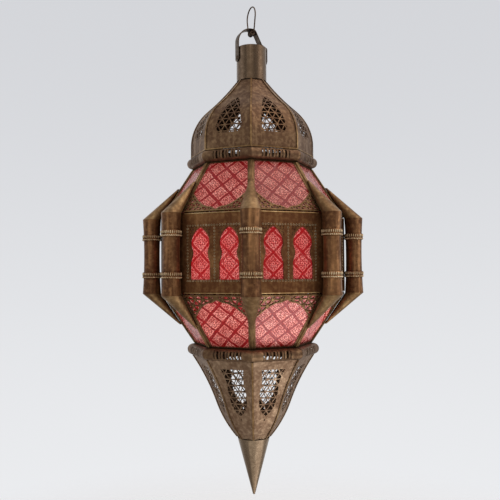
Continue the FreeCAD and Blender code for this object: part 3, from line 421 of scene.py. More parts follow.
def bend_sheet(points, faces, place, thick=SHEET):
    """Vertices and faces of a sheet with thickness; place(u, v, depth) gives a point in millimetres."""
    used = sorted({corner for face in faces for corner in face})
    index = {old: new for new, old in enumerate(used)}
    count = len(used)
    verts = [place(*points[old], 0.0) for old in used] + [place(*points[old], thick) for old in used]
    front = [[index[corner] for corner in face] for face in faces]
    solid = front + [[corner + count for corner in reversed(face)] for face in front]
    border = dict.fromkeys(edge for face in front for edge in zip(face, face[1:] + face[:1]))
    return verts, solid + [[b, a, a + count, b + count] for a, b in border if (b, a) not in border]


def turn_points(verts, angle):
    c, s = math.cos(angle), math.sin(angle)
    array = np.array(verts)
    x, y, z = array.T
    return np.column_stack([x * c - y * s, x * s + y * c, z])


def side_angles(sides=range(SIDES)):
    return [(2 * side + 1) * HALF_TURN for side in sides]


def corner_angle(corner):
    return 2 * corner * HALF_TURN


def hang(name, mesh, body):
    """Puts a mesh on a body as a named piece."""
    item = bpy.data.objects.new(name, mesh)
    scene.collection.objects.link(item)
    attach(item, body)
    print(name, len(mesh.polygons), "faces")
    return item


def make_piece(name, verts, faces, material, body, copies, uv=None, smooth=35.0):
    """A mesh piece from millimetre points, repeated at some angles, on a body."""
    array = np.array(verts, dtype=float)
    every = np.vstack([turn_points(array, angle) for angle in copies]) * MM
    all_faces = [[corner + k * len(array) for corner in face] for k in range(len(copies)) for face in faces]
    mesh = bpy.data.meshes.new(name)
    mesh.from_pydata(every.tolist(), [], all_faces)
    mesh.materials.append(material)
    if uv is not None:
        layer = mesh.uv_layers.new(name="pane")
        corners = np.array([vertex for face in all_faces for vertex in face]) % len(array)
        layer.data.foreach_set("uv", np.array(uv, dtype=float)[corners].ravel())
    mesh.shade_smooth()
    mesh.set_sharp_from_angle(angle=math.radians(smooth))
    return hang(name, mesh, body)


# %% [markdown]
# ## Filigree
# All the pierced places share one pattern. Strands run in three directions, 60 degrees apart, and cross at
# common points, so the holes are triangles that make six-pointed stars. A small disc stays at every crossing,
# as the pattern's maker leaves it for strength. The holes could be drawn one by one, but what stays between
# them is simpler: three sets of parallel lines.

# %% Strands of the star lattice
def strand(a, b, width):
    ax, ay = a
    length = math.dist(a, b)
    nx, ny = -(b[1] - ay) / length * width / 2, (b[0] - ax) / length * width / 2
    return [(ax - nx, ay - ny), (b[0] - nx, b[1] - ny), (b[0] + nx, b[1] + ny), (ax + nx, ay + ny)]


def clip_line(point, angle, box):
    """The part of a line that lies inside a box, or nothing."""
    dx, dy = math.cos(angle), math.sin(angle)
    low, high = -1e6, 1e6
    for start, step, first, last in ((point[0], dx, box[0], box[2]), (point[1], dy, box[1], box[3])):
        if abs(step) < 1e-9:
            if not first <= start <= last:
                return None
            continue
        t0, t1 = sorted(((first - start) / step, (last - start) / step))
        low, high = max(low, t0), min(high, t1)
    if high - low < 0.5:
        return None
    return (point[0] + dx * low, point[1] + dy * low), (point[0] + dx * high, point[1] + dy * high)


def bounds_of(loop, grow=0.3):
    xs, ys = [p[0] for p in loop], [p[1] for p in loop]
    return min(xs) - grow, min(ys) - grow, max(xs) + grow, max(ys) + grow


def star_lattice(loop, pitch, width, hub, middle=None):
    """Strands and hub discs that cover the box round a pierced place, counted from its middle."""
    box = bounds_of(loop)
    mx, my = middle or ((box[0] + box[2]) / 2, (box[1] + box[3]) / 2)
    row = pitch * math.sqrt(3) / 2
    count = int(math.hypot(box[2] - box[0], box[3] - box[1]) / row) + 2
    steps = range(-count, count + 1)
    pieces = []
    for angle in (0.0, math.pi / 3, 2 * math.pi / 3):
        for k in steps:
            ends = clip_line((mx - math.sin(angle) * row * k, my + math.cos(angle) * row * k), angle, box)
            if ends:
                pieces.append(strand(*ends, width))
    for i in steps:
        for j in steps:
            cx, cy = mx + (i + j / 2) * pitch, my + j * row
            if box[0] < cx < box[2] and box[1] < cy < box[3]:
                pieces.append(ring_points(cx, cy, hub, hub, 6, 0.15))
    return pieces


# %% [markdown]
# ## Dome and bowl
# A dome side is a flat gore that is bent over a curve: upright at the foot, bulging, then hollow up to the
# neck. The curve is made of arcs that run into each other without a kink, the same arcs as in the CAD part.
# The leaf-shaped window is drawn on the flat gore and bends with it. Spinning an outline would make a round
# dome, and bent gores keep the eight corners.

# %% Side curve and gore helpers
def arc_points(start, heading, end, count=24):
    """Points on the arc that leaves start along heading and ends at end, and its last heading."""
    (ax, az), (dx, dz) = start, heading
    cx, cz = end[0] - ax, end[1] - az
    side = -dz * cx + dx * cz
    radius = (cx * cx + cz * cz) / (2 * side)
    turn = 2 * math.copysign(math.asin(math.hypot(cx, cz) / (2 * abs(radius))), side)
    mx, mz = ax - dz * radius, az + dx * radius
    points = []
    for k in range(count + 1):
        c, s = math.cos(turn * k / count), math.sin(turn * k / count)
        ox, oz = ax - mx, az - mz
        points.append((mx + ox * c - oz * s, mz + ox * s + oz * c))
    c, s = math.cos(turn), math.sin(turn)
    return points, (dx * c - dz * s, dx * s + dz * c)


class SideCurve:
    """A bent side: lateral place and length along the curve to a point in space."""

    def __init__(self, points):
        self.points = np.array(points)
        steps = np.hypot(*np.diff(self.points, axis=0).T)
        self.along = np.concatenate([[0.0], np.cumsum(steps)])
        self.length = self.along[-1]
        tangent = np.gradient(self.points, self.along, axis=0)
        tangent /= np.linalg.norm(tangent, axis=1)[:, None]
        self.tangent = tangent

    def at(self, v):
        """The point and the heading at a length along the curve: x, z, tx, tz."""
        return [np.interp(v, self.along, column) for column in (*self.points.T, *self.tangent.T)]

    def half_width(self, v):
        return self.at(v)[0] * TAN - SIDE_GAP

    def place(self, u, v, depth):
        x, z, tx, tz = self.at(v)
        inner = x - tz * depth
        return inner, u * inner / x, z + tx * depth

    def level_to_length(self, z):
        order = np.argsort(self.points[:, 1])
        return float(np.interp(z, self.points[order, 1], self.along[order]))

    def outline(self, step=3.0):
        stations = np.linspace(0, self.length, int(self.length / step) + 1)
        right = [(self.half_width(v), v) for v in stations]
        left = [(-u, v) for u, v in reversed(right)]
        rungs = [((-self.half_width(v) + 0.01, v), (self.half_width(v) - 0.01, v)) for v in stations[1:-1]]
        return right + left, rungs


def filigree_gore(name, curve, loop, lattice, material, windows=()):
    """Cuts a pierced gore, bends it over a curve and repeats it on every side."""
    outline, rungs = curve.outline()
    flat = cut_sheet(outline, windows=windows, pierced=[loop], strands=lattice, rungs=rungs)
    return make_piece(name, *bend_sheet(*flat, curve.place), material, "lantern", side_angles())


# %% Dome sides
dome_apothem, dome_skirt, neck_apothem = 84.3, 15.0, 20.37
turn_inset, turn_height = 23.5, 68.0                # where the outline turns from bulging to hollow
leaf_low, leaf_high, leaf_half = 21.0, 77.5, 20.5   # levels above the dome's foot, and half the width
dome_turn = (dome_apothem - turn_inset, dome_foot + turn_height)
skirt_top = (dome_apothem, dome_foot + dome_skirt)
bulge, heading = arc_points(skirt_top, (0.0, 1.0), dome_turn)
hollow, _ = arc_points(dome_turn, heading, (neck_apothem, dome_top))
dome_curve = SideCurve([(dome_apothem, dome_foot)] + bulge + hollow[1:])


def window_outline(foot, height, half_at, count, pointed=False):
    """A window symmetric about u = 0; half_at gives half its width at a share of its height."""
    right = [(max(half_at(k / count), 0.05), foot + height * (k / count)) for k in range(count + 1)]
    return right + [(-u, v) for u, v in reversed(right[:-1] if pointed else right)]


def leaf_at(t):
    """A leaf that is widest a little above its rounded foot and ends in a tip at the top."""
    return leaf_half * min(1.0, 0.72 + 2.2 * t) * (1.0 - max(0.0, t - 0.1) / 0.9) ** 0.64


leaf_foot = dome_curve.level_to_length(dome_foot + leaf_low)
leaf_height = dome_curve.level_to_length(dome_foot + leaf_high) - leaf_foot
dome_leaf = window_outline(leaf_foot, leaf_height, leaf_at, 16, pointed=True)
lattice = star_lattice(dome_leaf, pitch=11.0, width=1.45, hub=1.7, middle=(0.0, leaf_foot + 1.5))
dome = filigree_gore("dome_filigree", dome_curve, dome_leaf, lattice, brass_dome)
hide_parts(*["dome_side_%d" % k for k in range(1, 9)])

# %% [markdown]
# The bowl is the dome's opposite: its sides fall from the wide rim, almost straight, and round in to the
# spike. Its window is a tall vase: wide at the top, narrower in the middle, pointed at the foot, with one
# punched mark below.

# %% Bowl sides
bowl_apothem, spike_apothem, bowl_lean = 83.1, 22.2, math.radians(18.5)
turn_inset, turn_drop = 33.1, 70.0
vase_high, vase_low, punch_drop = 12.5, 82.0, 88.0  # levels below the bowl's rim
bowl_turn = (bowl_apothem - turn_inset, bowl_rim - turn_drop)
outward = (math.sin(bowl_lean), math.cos(bowl_lean))
to_rim, _ = arc_points(bowl_turn, outward, (bowl_apothem, bowl_rim))
to_foot, _ = arc_points(bowl_turn, (-outward[0], -outward[1]), (spike_apothem, bowl_foot))
bowl_curve = SideCurve(to_foot[::-1] + to_rim[1:])
vase_levels = (0.0, 0.06, 0.12, 0.25, 0.40, 0.55, 0.70, 0.85, 1.0)
vase_shares = (0.0, 0.28, 0.45, 0.58, 0.60, 0.55, 0.49, 0.51, 0.56)


def vase_at(t):
    """A tall vase whose width is a share of the side's own width at each level."""
    return bowl_curve.half_width(vase_foot + vase_height * t) * float(np.interp(t, vase_levels, vase_shares))


vase_foot = bowl_curve.level_to_length(bowl_rim - vase_low)
vase_height = bowl_curve.level_to_length(bowl_rim - vase_high) - vase_foot
bowl_vase = window_outline(vase_foot, vase_height, vase_at, 24)
punch = ring_points(0.0, bowl_curve.level_to_length(bowl_rim - punch_drop), across=0.9, up=1.6, count=6)
lattice = star_lattice(bowl_vase, pitch=11.6, width=1.3, hub=1.4, middle=(0.0, vase_foot + 9.0))
bowl = filigree_gore("bowl_filigree", bowl_curve, bowl_vase, lattice, brass_bowl, windows=[punch])
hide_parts("bowl_sides")

# %% [markdown]
# ## Sloped frames
# Above and below the upright box, eight sloped frames hold the glass. The glass shows through an ogee: a
# small tip towards the box, a curve out to the sides, then straight edges. The two corners beside the tip are
# filled with a finer filigree. Every frame is a flat plate, so its drawing is only tilted.

# %% Sloped frame drawing
frame_margin, shoulder_rise, shoulder_bow, neck_half = 5.0, 25.0, 4.0, 13.0
tip_outline = ((0.0, 0.0), (2.2, 1.5), (4.4, 2.9), (6.4, 4.1), (8.6, 4.8), (neck_half, 5.2))
frame_start, pocket_low, pocket_rise = 0.9, 3.4, 27.0


class Slope:
    """One sloped side; rise runs from the box towards the band, measured along the slope."""

    def __init__(self, z_box, height, inset, sign, tip):
        self.z_box, self.sign = z_box, sign
        self.lean = math.atan2(inset * COS, height)
        self.length = height / math.cos(self.lean)
        self.tip = tip / math.cos(self.lean)

    def apothem(self, v):
        return box_apothem - v * math.sin(self.lean)

    def place(self, u, v, depth):
        x = self.apothem(v) - depth * math.cos(self.lean)
        z = self.z_box + self.sign * (v * math.cos(self.lean) - depth * math.sin(self.lean))
        return x, u * x / self.apothem(v), z

    def side_width(self, v, margin=SIDE_GAP):
        return self.apothem(v) * TAN - margin

    def ogee(self, grow=0.0):
        """Half of the glass outline, from the tip along the right to the head."""
        shoulder = self.tip + shoulder_rise / math.cos(self.lean)
        wide = self.side_width(shoulder, frame_margin)
        points = [(u, self.tip + rise) for u, rise in tip_outline]
        neck_v = points[-1][1]
        for t in np.linspace(0, 1, 13)[1:]:
            bow = 4.0 * shoulder_bow * t * (1.0 - t)
            points.append((neck_half + (wide - neck_half) * t, neck_v + (shoulder - neck_v) * t - bow))
        head = self.length - 1.8
        points.append((self.side_width(head, frame_margin), head))
        if grow:
            points = [(u + grow * 0.35, v - grow) for u, v in points[:-1]] + [points[-1]]
        return points


def mirrored(half):
    return half + [(-u, v) for u, v in reversed(half) if u > 1e-6]


def ccw(loop):
    area = sum(a[0] * b[1] - b[0] * a[1] for a, b in zip(loop, loop[1:] + loop[:1]))
    return loop if area > 0 else loop[::-1]


def four_corners(low, high, half, high_half=None):
    """Corners of a panel with its middle at u = 0; high_half is half its width at the top."""
    top = half if high_half is None else high_half
    return [(-half, low), (half, low), (top, high), (-top, high)]


def sloped_frame(slope, pitch):
    """The flat drawing of a sloped frame with its ogee and two pierced corners."""
    outline = four_corners(frame_start, slope.length, slope.side_width(frame_start),
                           slope.side_width(slope.length))
    opening = ccw(mirrored(slope.ogee()))
    edge = [(u, v) for u, v in slope.ogee(grow=1.5) if v < slope.tip + pocket_rise]
    inner = [(u, v) for u, v in edge if v > pocket_low + 0.8 and u > 3.0]
    side = [(slope.side_width(v, 3.6), v) for v in (inner[-1][1], pocket_low)]
    pocket = [(inner[0][0] - 1.0, pocket_low)] + inner + side
    pockets = [ccw(pocket), ccw([(-u, v) for u, v in pocket])]
    strands = [piece for loop in pockets for piece in star_lattice(loop, pitch, width=1.3, hub=1.3)]
    return cut_sheet(outline, windows=[opening], pierced=pockets, strands=strands)


upper_slope = Slope(box_top, height=74.7, inset=48.9, sign=1, tip=3.2)
lower_slope = Slope(box_foot, height=76.1, inset=51.5, sign=-1, tip=7.4)
for name, slope, pitch in (("upper", upper_slope, 8.0), ("lower", lower_slope, 11.5)):
    verts, faces = bend_sheet(*sloped_frame(slope, pitch), slope.place)
    if slope.sign < 0:
        faces = [face[::-1] for face in faces]
    piece = make_piece("%s_sloped_filigree" % name, verts, faces, brass_frame, "lantern",
                       side_angles())
    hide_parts("%s_slope_frames" % name)

# %% [markdown]
# ## Box sides
# Each upright side has two keyhole windows: a straight foot, shoulders, a waist, a round lobe and a tip. The
# corners beside each lobe are pierced with the finest filigree. The door at the back is the same plate, cut a
# little smaller, so one drawing serves for both.

# %% Keyhole windows and box plates
window_foot_level = box_foot + 19.3
window_pitch, window_half, waist_inset, lobe_inset = 42.4, 14.5, 3.5, 0.6
shoulder, waist, lobe, lobe_height = 21.7, 37.5, 48.0, 22.5     # levels above the window's foot, and a height


def lobe_share(t):
    """Width of the lobe from its widest place, t = 0, to its tip, t = 1."""
    return (1.0 - t ** 2.3) ** 0.9


def keyhole(middle):
    half = [(window_half, 0.0), (window_half, shoulder)]
    bend = [(t, math.sin(t * math.pi / 2)) for t in np.linspace(0, 1, 6)[1:]]
    half += [(window_half - waist_inset * s ** 1.5, shoulder + (waist - shoulder) * t) for t, s in bend]
    half += [(window_half - waist_inset + (waist_inset - lobe_inset) * s, waist + (lobe - waist) * t)
             for t, s in bend]
    half += [((window_half - lobe_inset) * lobe_share(t), lobe + lobe_height * t)
             for t in np.linspace(0, 1, 9)[1:]]
    right = [(u, v + window_foot_level) for u, v in half]
    return ccw([(middle + u, v) for u, v in mirrored(right)])


def lobe_corner(middle, side):
    """The pierced corner beside a lobe, between the keyhole and the dotted border."""
    curve = [((window_half - lobe_inset) * lobe_share(t) + 1.6, lobe + lobe_height * t + 1.2)
             for t in np.linspace(0.36, 0.90, 7)]
    outer, top = window_half + 0.6, 71.6
    loop = curve + [(curve[-1][0], top), (outer, top), (outer, curve[0][1])]
    return ccw([(middle + side * u, v + window_foot_level) for u, v in loop])


border_inset, dot_radius = 17.9, 0.85
border_low, border_high = box_foot + border_inset, box_top - border_inset
border_half, border_pitch = 40.2, 4.2


def border_points(left_free=(), right_free=()):
    """Places of the punched dots round both windows; free spans keep the outer columns clear of fittings."""
    count = round((border_high - border_low) / border_pitch)
    levels = [border_low + (border_high - border_low) * k / count for k in range(count + 1)]
    points = [(0.0, v) for v in levels]
    for u, free in ((-border_half, left_free), (border_half, right_free)):
        points += [(u, v) for v in levels if not any(a < v < b for a, b in free)]
    across = round(border_half / border_pitch)
    for k in range(1, across):
        u = border_half * k / across
        points += [(side * u, v) for side in (-1, 1) for v in (border_low, border_high)]
    return points


def box_drawing(half_width, low, high, dots):
    middles = (-window_pitch / 2, window_pitch / 2)
    windows = [keyhole(middle) for middle in middles]
    windows += [ring_points(u, v, dot_radius, dot_radius, 5) for u, v in dots]
    corners = [lobe_corner(middle, side) for middle in middles for side in (-1, 1)]
    strands = [piece for loop in corners for piece in star_lattice(loop, pitch=4.6, width=1.2, hub=1.0)]
    return cut_sheet(four_corners(low, high, half_width), windows, corners, strands)


def upright(u, v, depth):
    return box_apothem - depth, u, v


plate_inset = 0.8
plate_low, plate_high = box_foot + plate_inset, box_top - plate_inset
door_side = 1
fixed_sides = [k for k in range(SIDES) if k != door_side]
side_dots = border_points()
plate = bend_sheet(*box_drawing(box_apothem * TAN - SIDE_GAP, plate_low, plate_high, side_dots), upright)
box_plates = make_piece("box_plates", *plate, brass_plain, "lantern", side_angles(fixed_sides))
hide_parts(*["box_side_%d" % k for k in range(1, 8)])

door_low, door_high, door_half = level("door_plate", False), level("door_plate"), 42.8
hinge_near, hinge_far = 15.0, 37.0          # from the box's ends
fittings_low, fittings_high = 46.0, 29.0    # the knob and the turn button, from the foot and the top
hinge_spans = [(box_foot + hinge_near, box_foot + hinge_far), (box_top - hinge_far, box_top - hinge_near)]
fittings_span = (box_foot + fittings_low, box_top - fittings_high)
door_dots = border_points(left_free=hinge_spans, right_free=[fittings_span])
plate = bend_sheet(*box_drawing(door_half, door_low, door_high, door_dots), upright)
door_plate = make_piece("door_filigree", *plate, brass_plain, "door", side_angles([door_side]))
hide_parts("door_plate")

# %% [markdown]
# ## Folded edges
# Each sheet ends in a narrow fold that stands a little proud. Two folds meet at the box's top and foot with a
# dark groove between them. A fold is a flattened half-round, drawn across a side and repeated on the others.
# A Bevel modifier would round the plate's edge, but it would not stand out from the sheet.

# %% Folded edges of the box and the slopes
def half_round(low, high, proud, seat, steps=6):
    """The section of a fold, (place across, depth): over the top from low to high, back inside the sheet."""
    turns = [math.pi * k / steps for k in range(steps + 1)]
    arc = [(low + (high - low) * (0.5 - 0.5 * math.cos(a)), -proud * math.sin(a)) for a in turns]
    return arc + [(high, seat), (low, seat)]


def bar(first, last):
    """A closed bar between two ends with the same count of points."""
    count = len(first)
    faces = [[k, (k + 1) % count, (k + 1) % count + count, k + count] for k in range(count)]
    return first + last, faces + [list(range(count))[::-1], list(range(count, 2 * count))]


def fold(place, half, low, high, proud):
    """A half-round ridge across a side between two levels."""
    ring = half_round(low, high, proud, 0.2)
    return bar(*[[place(u, v, depth) for v, depth in ring] for u in (-half, half)])


def outward_normals(item):
    """Turns every face outwards; each separate shell of the mesh is closed."""
    work = bmesh.new()
    work.from_mesh(item.data)
    bmesh.ops.recalc_face_normals(work, faces=work.faces)
    work.to_mesh(item.data)
    work.free()


def mesh_sum(*parts):
    """Joins lists of (verts, faces) into one."""
    verts, faces = [], []
    for part_verts, part_faces in parts:
        faces += [[corner + len(verts) for corner in face] for face in part_faces]
        verts += [tuple(point) for point in part_verts]
    return verts, faces


fold_half, box_fold_width, box_fold_proud = 45.0, 1.5, 0.8
slope_fold = {"low": 0.9, "high": 3.1, "proud": 1.0}
box_folds = mesh_sum(fold(upright, fold_half, plate_low, plate_low + box_fold_width, box_fold_proud),
                     fold(upright, fold_half, plate_high - box_fold_width, plate_high, box_fold_proud))
outward_normals(make_piece("box_folds", *box_folds, brass_rubbed, "lantern", smooth=60.0,
                           copies=side_angles(fixed_sides)))
slope_folds = mesh_sum(*[fold(slope.place, fold_half, **slope_fold) for slope in (upper_slope, lower_slope)])
outward_normals(make_piece("slope_folds", *slope_folds, brass_frame, "lantern", smooth=60.0,
                           copies=side_angles()))

# %% [markdown]
# ## Glass panes
# A pane is a plain slab behind its frame. It gets its own UV map in millimetres for the pressed pattern,
# which is why the CAD panes, whose meshes have no such map, are replaced by slabs of the same size.

# %% Panes
glass_depth, glass_thick = SHEET + 0.2, 3.0
box_pane_margin, door_pane_margin, slope_pane_margin = 3.2, 1.0, 4.6    # from the sheet's own edges
slope_pane_low, slope_pane_free, pattern_share = 3.0, 0.6, 0.52


def add_panes(name, node, body, corners, place, sides, centre, glass):
    """Slabs with the corner points (u, v) on their front and a UV map in millimetres from centre."""
    verts = [place(u, v, depth) for depth in (glass_depth, glass_thick + glass_depth) for u, v in corners]
    faces = [[0, 1, 2, 3], [7, 6, 5, 4], [0, 4, 5, 1], [1, 5, 6, 2], [2, 6, 7, 3], [3, 7, 4, 0]]
    uv = [(u - centre[0], v - centre[1]) for u, v in corners] * 2
    item = make_piece(name, verts, faces, glass, body, side_angles(sides), uv=uv)
    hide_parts(node)
    return item


pane_low, pane_high = level("box_panes", False), level("box_panes")
half = box_apothem * TAN - box_pane_margin
box_middle = (0.0, (pane_low + pane_high) / 2)
add_panes("box_glass", "box_panes", "lantern", four_corners(pane_low, pane_high, half), upright, fixed_sides,
          box_middle, window_glass)
pane_low, pane_high = level("door_pane", False), level("door_pane")
half = door_half - door_pane_margin
add_panes("door_glass", "door_pane", "door", four_corners(pane_low, pane_high, half), upright, [door_side],
          box_middle, window_glass)
for name, slope in (("upper", upper_slope), ("lower", lower_slope)):
    low, high = slope_pane_low, slope.length - slope_pane_free
    corners = four_corners(low, high, *[slope.side_width(v, slope_pane_margin) for v in (low, high)])
    item = add_panes("%s_sloped_glass" % name, "%s_slope_panes" % name, "lantern", corners, slope.place,
                     range(SIDES), (0.0, slope.length * pattern_share), red_glass)
    if slope.sign < 0:
        item.data.flip_normals()

# %% [markdown]
# ## Corner ridges
# The strip over each sloped corner has two folded ridges with a dark groove between them, at the front, the
# back and both sides. On the corners between, rope edges lie there instead, which come with the beads below.
# Both run from the buttress's tip to the band.

# %% Folded ridges on four of the corners
hip_first, hip_free = 51.0, 2.0     # where a ridge begins along the slope, and what it leaves free at the end
ridge_middle, ridge_width, ridge_proud = 2.1, 2.8, 0.9


def strip_rise(slope):
    """How far a corner strip stands out of the bare corner, measured at its wide end."""
    node = "upper_corner_strips" if slope.sign > 0 else "lower_corner_strips"
    end = level(node, slope.sign < 0)
    bare = slope.apothem((end - slope.z_box) * slope.sign / math.cos(slope.lean)) / COS
    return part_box(node)[1][0] / MM - bare


def hip_place(slope):
    """Places a point on a slope's corner that faces +X: u across, v along it, depth below the strip."""
    rise = strip_rise(slope)

    def place(u, v, depth):
        radius = slope.apothem(v) / COS + rise - TAN * abs(u) - depth
        return radius, u, slope.z_box + slope.sign * v * math.cos(slope.lean)
    return place


def long_fold(place, middle, width, first, last, proud):
    """A half-round ridge that runs along v."""
    ring = half_round(middle - width / 2, middle + width / 2, proud, 0.3)
    return bar(*[[place(u, v, depth) for u, depth in ring] for v in (first, last)])


folded_corners, rope_corners = (0, 2, 4, 6), (1, 3, 5, 7)
ridges = [long_fold(hip_place(slope), side * ridge_middle, ridge_width, hip_first, slope.length - hip_free,
                    ridge_proud) for slope in (upper_slope, lower_slope) for side in (-1, 1)]
outward_normals(make_piece("corner_folds", *mesh_sum(*ridges), brass_frame, "lantern", smooth=60.0,
                           copies=[corner_angle(k) for k in folded_corners]))

# %% [markdown]
# ## Punched dots, ropes and crimps with Geometry Nodes
# Three kinds of small work repeat hundreds of times, so Geometry Nodes places them. `punch_marks` sets a burr
# ring on every punched dot. `bead_row` walks along a path and sets beads at a pitch: long beads that lean
# make a rope, and upright ones the crimps of a collar. Each result is turned into a plain mesh, and the tree
# is gone from the finished lantern.

# %% A helper that builds trees and one that runs them
def new_tree(name, **inputs):
    """A tree with a geometry input, named inputs, a material input and one geometry output."""
    tree = bpy.data.node_groups.new(name, "GeometryNodeTree")
    for label, kind in {"Geometry": "Geometry", **inputs, "material": "Material"}.items():
        tree.interface.new_socket(label, in_out="INPUT", socket_type="NodeSocket" + kind)
    tree.interface.new_socket("Geometry", in_out="OUTPUT", socket_type="NodeSocketGeometry")
    g = Nodes(tree)
    return g, g.add("NodeGroupInput").outputs


def end_tree(g, given, points, shape, rotation, scale):
    """Sets the shape on every point, paints it and closes the tree."""
    dots = g.out("GeometryNodeInstanceOnPoints", {"Points": points, "Instance": shape, "Rotation": rotation,
                                                  "Scale": scale})
    real = g.out("GeometryNodeRealizeInstances", {0: dots})
    g.add("NodeGroupOutput", {0: g.out("GeometryNodeSetMaterial", {
        "Geometry": real, "Material": given["material"]})})
    return g.tree


def mark(g, name, kind):
    """A value that grow gave to each point."""
    return g.out("GeometryNodeInputNamedAttribute", {"Name": name}, data_type=kind)


def uneven_size(g, given, low, high):
    return g.add("FunctionNodeRandomValue", {2: low, 3: high, "Seed": given["seed"]},
                 data_type="FLOAT").outputs[1]


def grow(name, tree, body, points, edges=(), marks=None, **values):
    """Runs a tree on millimetre points and edges with marks for each point, and keeps a plain mesh."""
    source = bpy.data.meshes.new(name + "_path")
    source.from_pydata((np.array(points) * MM).tolist(), list(edges), [])
    for label, data in (marks or {}).items():
        flat = np.array(data, dtype=float)
        kind, field = ("FLOAT_VECTOR", "vector") if flat.ndim == 2 else ("FLOAT", "value")
        source.attributes.new(label, kind, "POINT").data.foreach_set(field, flat.ravel())
    carrier = bpy.data.objects.new(name + "_carrier", source)
    scene.collection.objects.link(carrier)
    step = carrier.modifiers.new("grow", "NODES")
    step.node_group = tree
    identifiers = {item.name: item.identifier for item in tree.interface.items_tree if item.in_out == "INPUT"}
    for label, value in values.items():
        step[identifiers[label]] = value
    carrier_now = carrier.evaluated_get(bpy.context.evaluated_depsgraph_get())
    mesh = bpy.data.meshes.new_from_object(carrier_now)
    carrier.modifiers.remove(step)
    bpy.data.objects.remove(carrier)
    mesh.name = name
    mesh.shade_smooth()
    return hang(name, mesh, body)


# %% The two trees
g, given = new_tree("punch_marks", ring_radius="Float", wire_radius="Float", seed="Int")
ring, wire = (g.out("GeometryNodeCurvePrimitiveCircle", {"Resolution": count, "Radius": given[radius]})
              for count, radius in ((8, "ring_radius"), (4, "wire_radius")))
burr = g.out("GeometryNodeCurveToMesh", {0: ring, 1: wire})
facing = g.out("ShaderNodeCombineXYZ", {1: math.pi / 2, 2: mark(g, "turn", "FLOAT")})
punch_marks = end_tree(g, given, given["Geometry"], burr, facing, uneven_size(g, given, 0.75, 1.15))

g, given = new_tree("bead_row", pitch="Float", bead_length="Float", bead_thickness="Float", lean="Float",
                    seed="Int")
path = g.out("GeometryNodeMeshToCurve", {0: given["Geometry"]})
spaced = g.out("GeometryNodeResampleCurve", {"Curve": path, "Length": given["pitch"]},
               mode="LENGTH")
ball = g.out("GeometryNodeMeshIcoSphere", {"Radius": 1.0, "Subdivisions": 1})
tangent = g.out("GeometryNodeInputTangent")
along = g.out("FunctionNodeAlignRotationToVector", {"Vector": tangent}, axis="Z")
flush = g.out("FunctionNodeAlignRotationToVector", {
    "Rotation": along, "Vector": mark(g, "outward", "FLOAT_VECTOR")}, axis="X", pivot_axis="Z")
tilt = g.out("FunctionNodeAxisAngleToRotation", {"Axis": (1, 0, 0), "Angle": given["lean"]})
leaning = g.out("FunctionNodeRotateRotation", {0: flush, 1: tilt}, rotation_space="LOCAL")
thick = given["bead_thickness"]
size = g.out("ShaderNodeCombineXYZ", {0: thick, 1: thick, 2: given["bead_length"]})
size = g.vector("SCALE", size, uneven_size(g, given, 0.85, 1.12))
bead_row = end_tree(g, given, spaced, ball, leaning, size)
print("trees:", [tree.name for tree in bpy.data.node_groups if tree.bl_idname == "GeometryNodeTree"])


# %% Punched dots
for name, body, dots, sides in (("punched_dots", "lantern", side_dots, fixed_sides),
                                ("door_dots", "door", door_dots, [door_side])):
    flat, angles = [upright(u, v, -0.1) for u, v in dots], side_angles(sides)
    points = np.vstack([turn_points(flat, angle) for angle in angles])
    grow(name, punch_marks, body, points, marks={"turn": np.repeat(angles, len(flat))}, ring_radius=1.05 * MM,
         wire_radius=0.31 * MM, seed=3, material=brass_bright)


# %% Rope edges and collars
def joined_paths(paths):
    """Points, edges and outward marks of several paths in one mesh; a path is (points, outward, closed)."""
    points, edges, marks = [], [], []
    for path, outward, closed in paths:
        first, count = len(points), len(path)
        edges += [(first + k, first + (k + 1) % count) for k in range(count if closed else count - 1)]
        points += [tuple(point) for point in path]
        marks += [tuple(direction) for direction in outward]
    return points, edges, {"outward": marks}


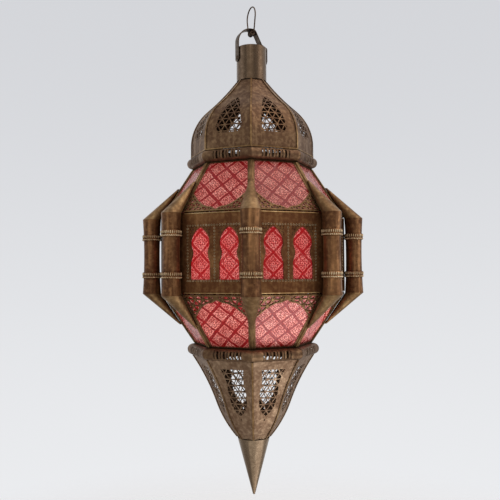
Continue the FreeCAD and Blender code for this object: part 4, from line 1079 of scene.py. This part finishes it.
rope_middle, rope_lift = 1.5, 0.25
ropes = []
for slope in (upper_slope, lower_slope):
    for side in (-1, 1):
        ends = [hip_place(slope)(side * rope_middle, v, -rope_lift)
                for v in (hip_first, slope.length - hip_free)]
        for k in rope_corners:
            angle = corner_angle(k)
            ropes.append((turn_points(ends, angle), [(math.cos(angle), math.sin(angle), 0.0)] * 2, False))
points, edges, marks = joined_paths(ropes)
grow("corner_ropes", bead_row, "lantern", points, edges, marks, pitch=2.2 * MM, bead_length=1.35 * MM,
     bead_thickness=0.80 * MM, lean=math.radians(28), seed=5, material=brass_rubbed)

column_radius, collar_inset, ring_steps = 151.4, 27.3, 48


def column_ring(corner, radius, z):
    """A ring round a column: its points, outward directions, and that it is closed."""
    cx, cy = column_radius * math.cos(corner_angle(corner)), column_radius * math.sin(corner_angle(corner))
    outward = [(x, y, 0.0) for x, y in ring_points(0.0, 0.0, 1.0, 1.0, ring_steps)]
    return [(cx + radius * x, cy + radius * y, z) for x, y, _ in outward], outward, True


collar_levels = (column_top - collar_inset, column_foot + collar_inset)
for name, radius, rise, pitch, length, thickness, lean in (
        ("collar_crimps", 13.55, 1.5, 3.0, 2.5, 0.85, 84), ("collar_ropes", 13.75, -2.9, 2.5, 1.5, 0.85, 30)):
    rings = [column_ring(k, radius, z + rise) for k in range(SIDES) for z in collar_levels]
    points, edges, marks = joined_paths(rings)
    grow(name, bead_row, "lantern", points, edges, marks, pitch=pitch * MM, bead_length=length * MM,
         bead_thickness=thickness * MM, lean=math.radians(lean), seed=9, material=brass_bright)

# %% [markdown]
# ## The CAD pieces that stay
# Tubes, cones, bands, hinges and the candle fitting already have the right shape. They only need a finish,
# which is put in the slots of their own materials.

# %% Finishes for the CAD pieces
finish = {}
for material, names in (
        (iron_wire, "hanging_loop loop_knot"), (bail_metal, "bail_strap bail_rivets"),
        (brass_neck, "neck_tube"), (brass_spike, "spike"), (brass_dome, "upper_band lower_band"),
        (brass_frame, "dome_seams bowl_seams upper_band_bead upper_buttresses lower_buttresses "
                      "upper_corner_strips lower_corner_strips")):
    finish.update(dict.fromkeys(names.split(), material))
for name, item in nodes.items():
    material = finish.get(name, brass_column if name.startswith("column") else brass_plain)
    for slot in range(len(item.data.materials)):
        item.data.materials[slot] = material
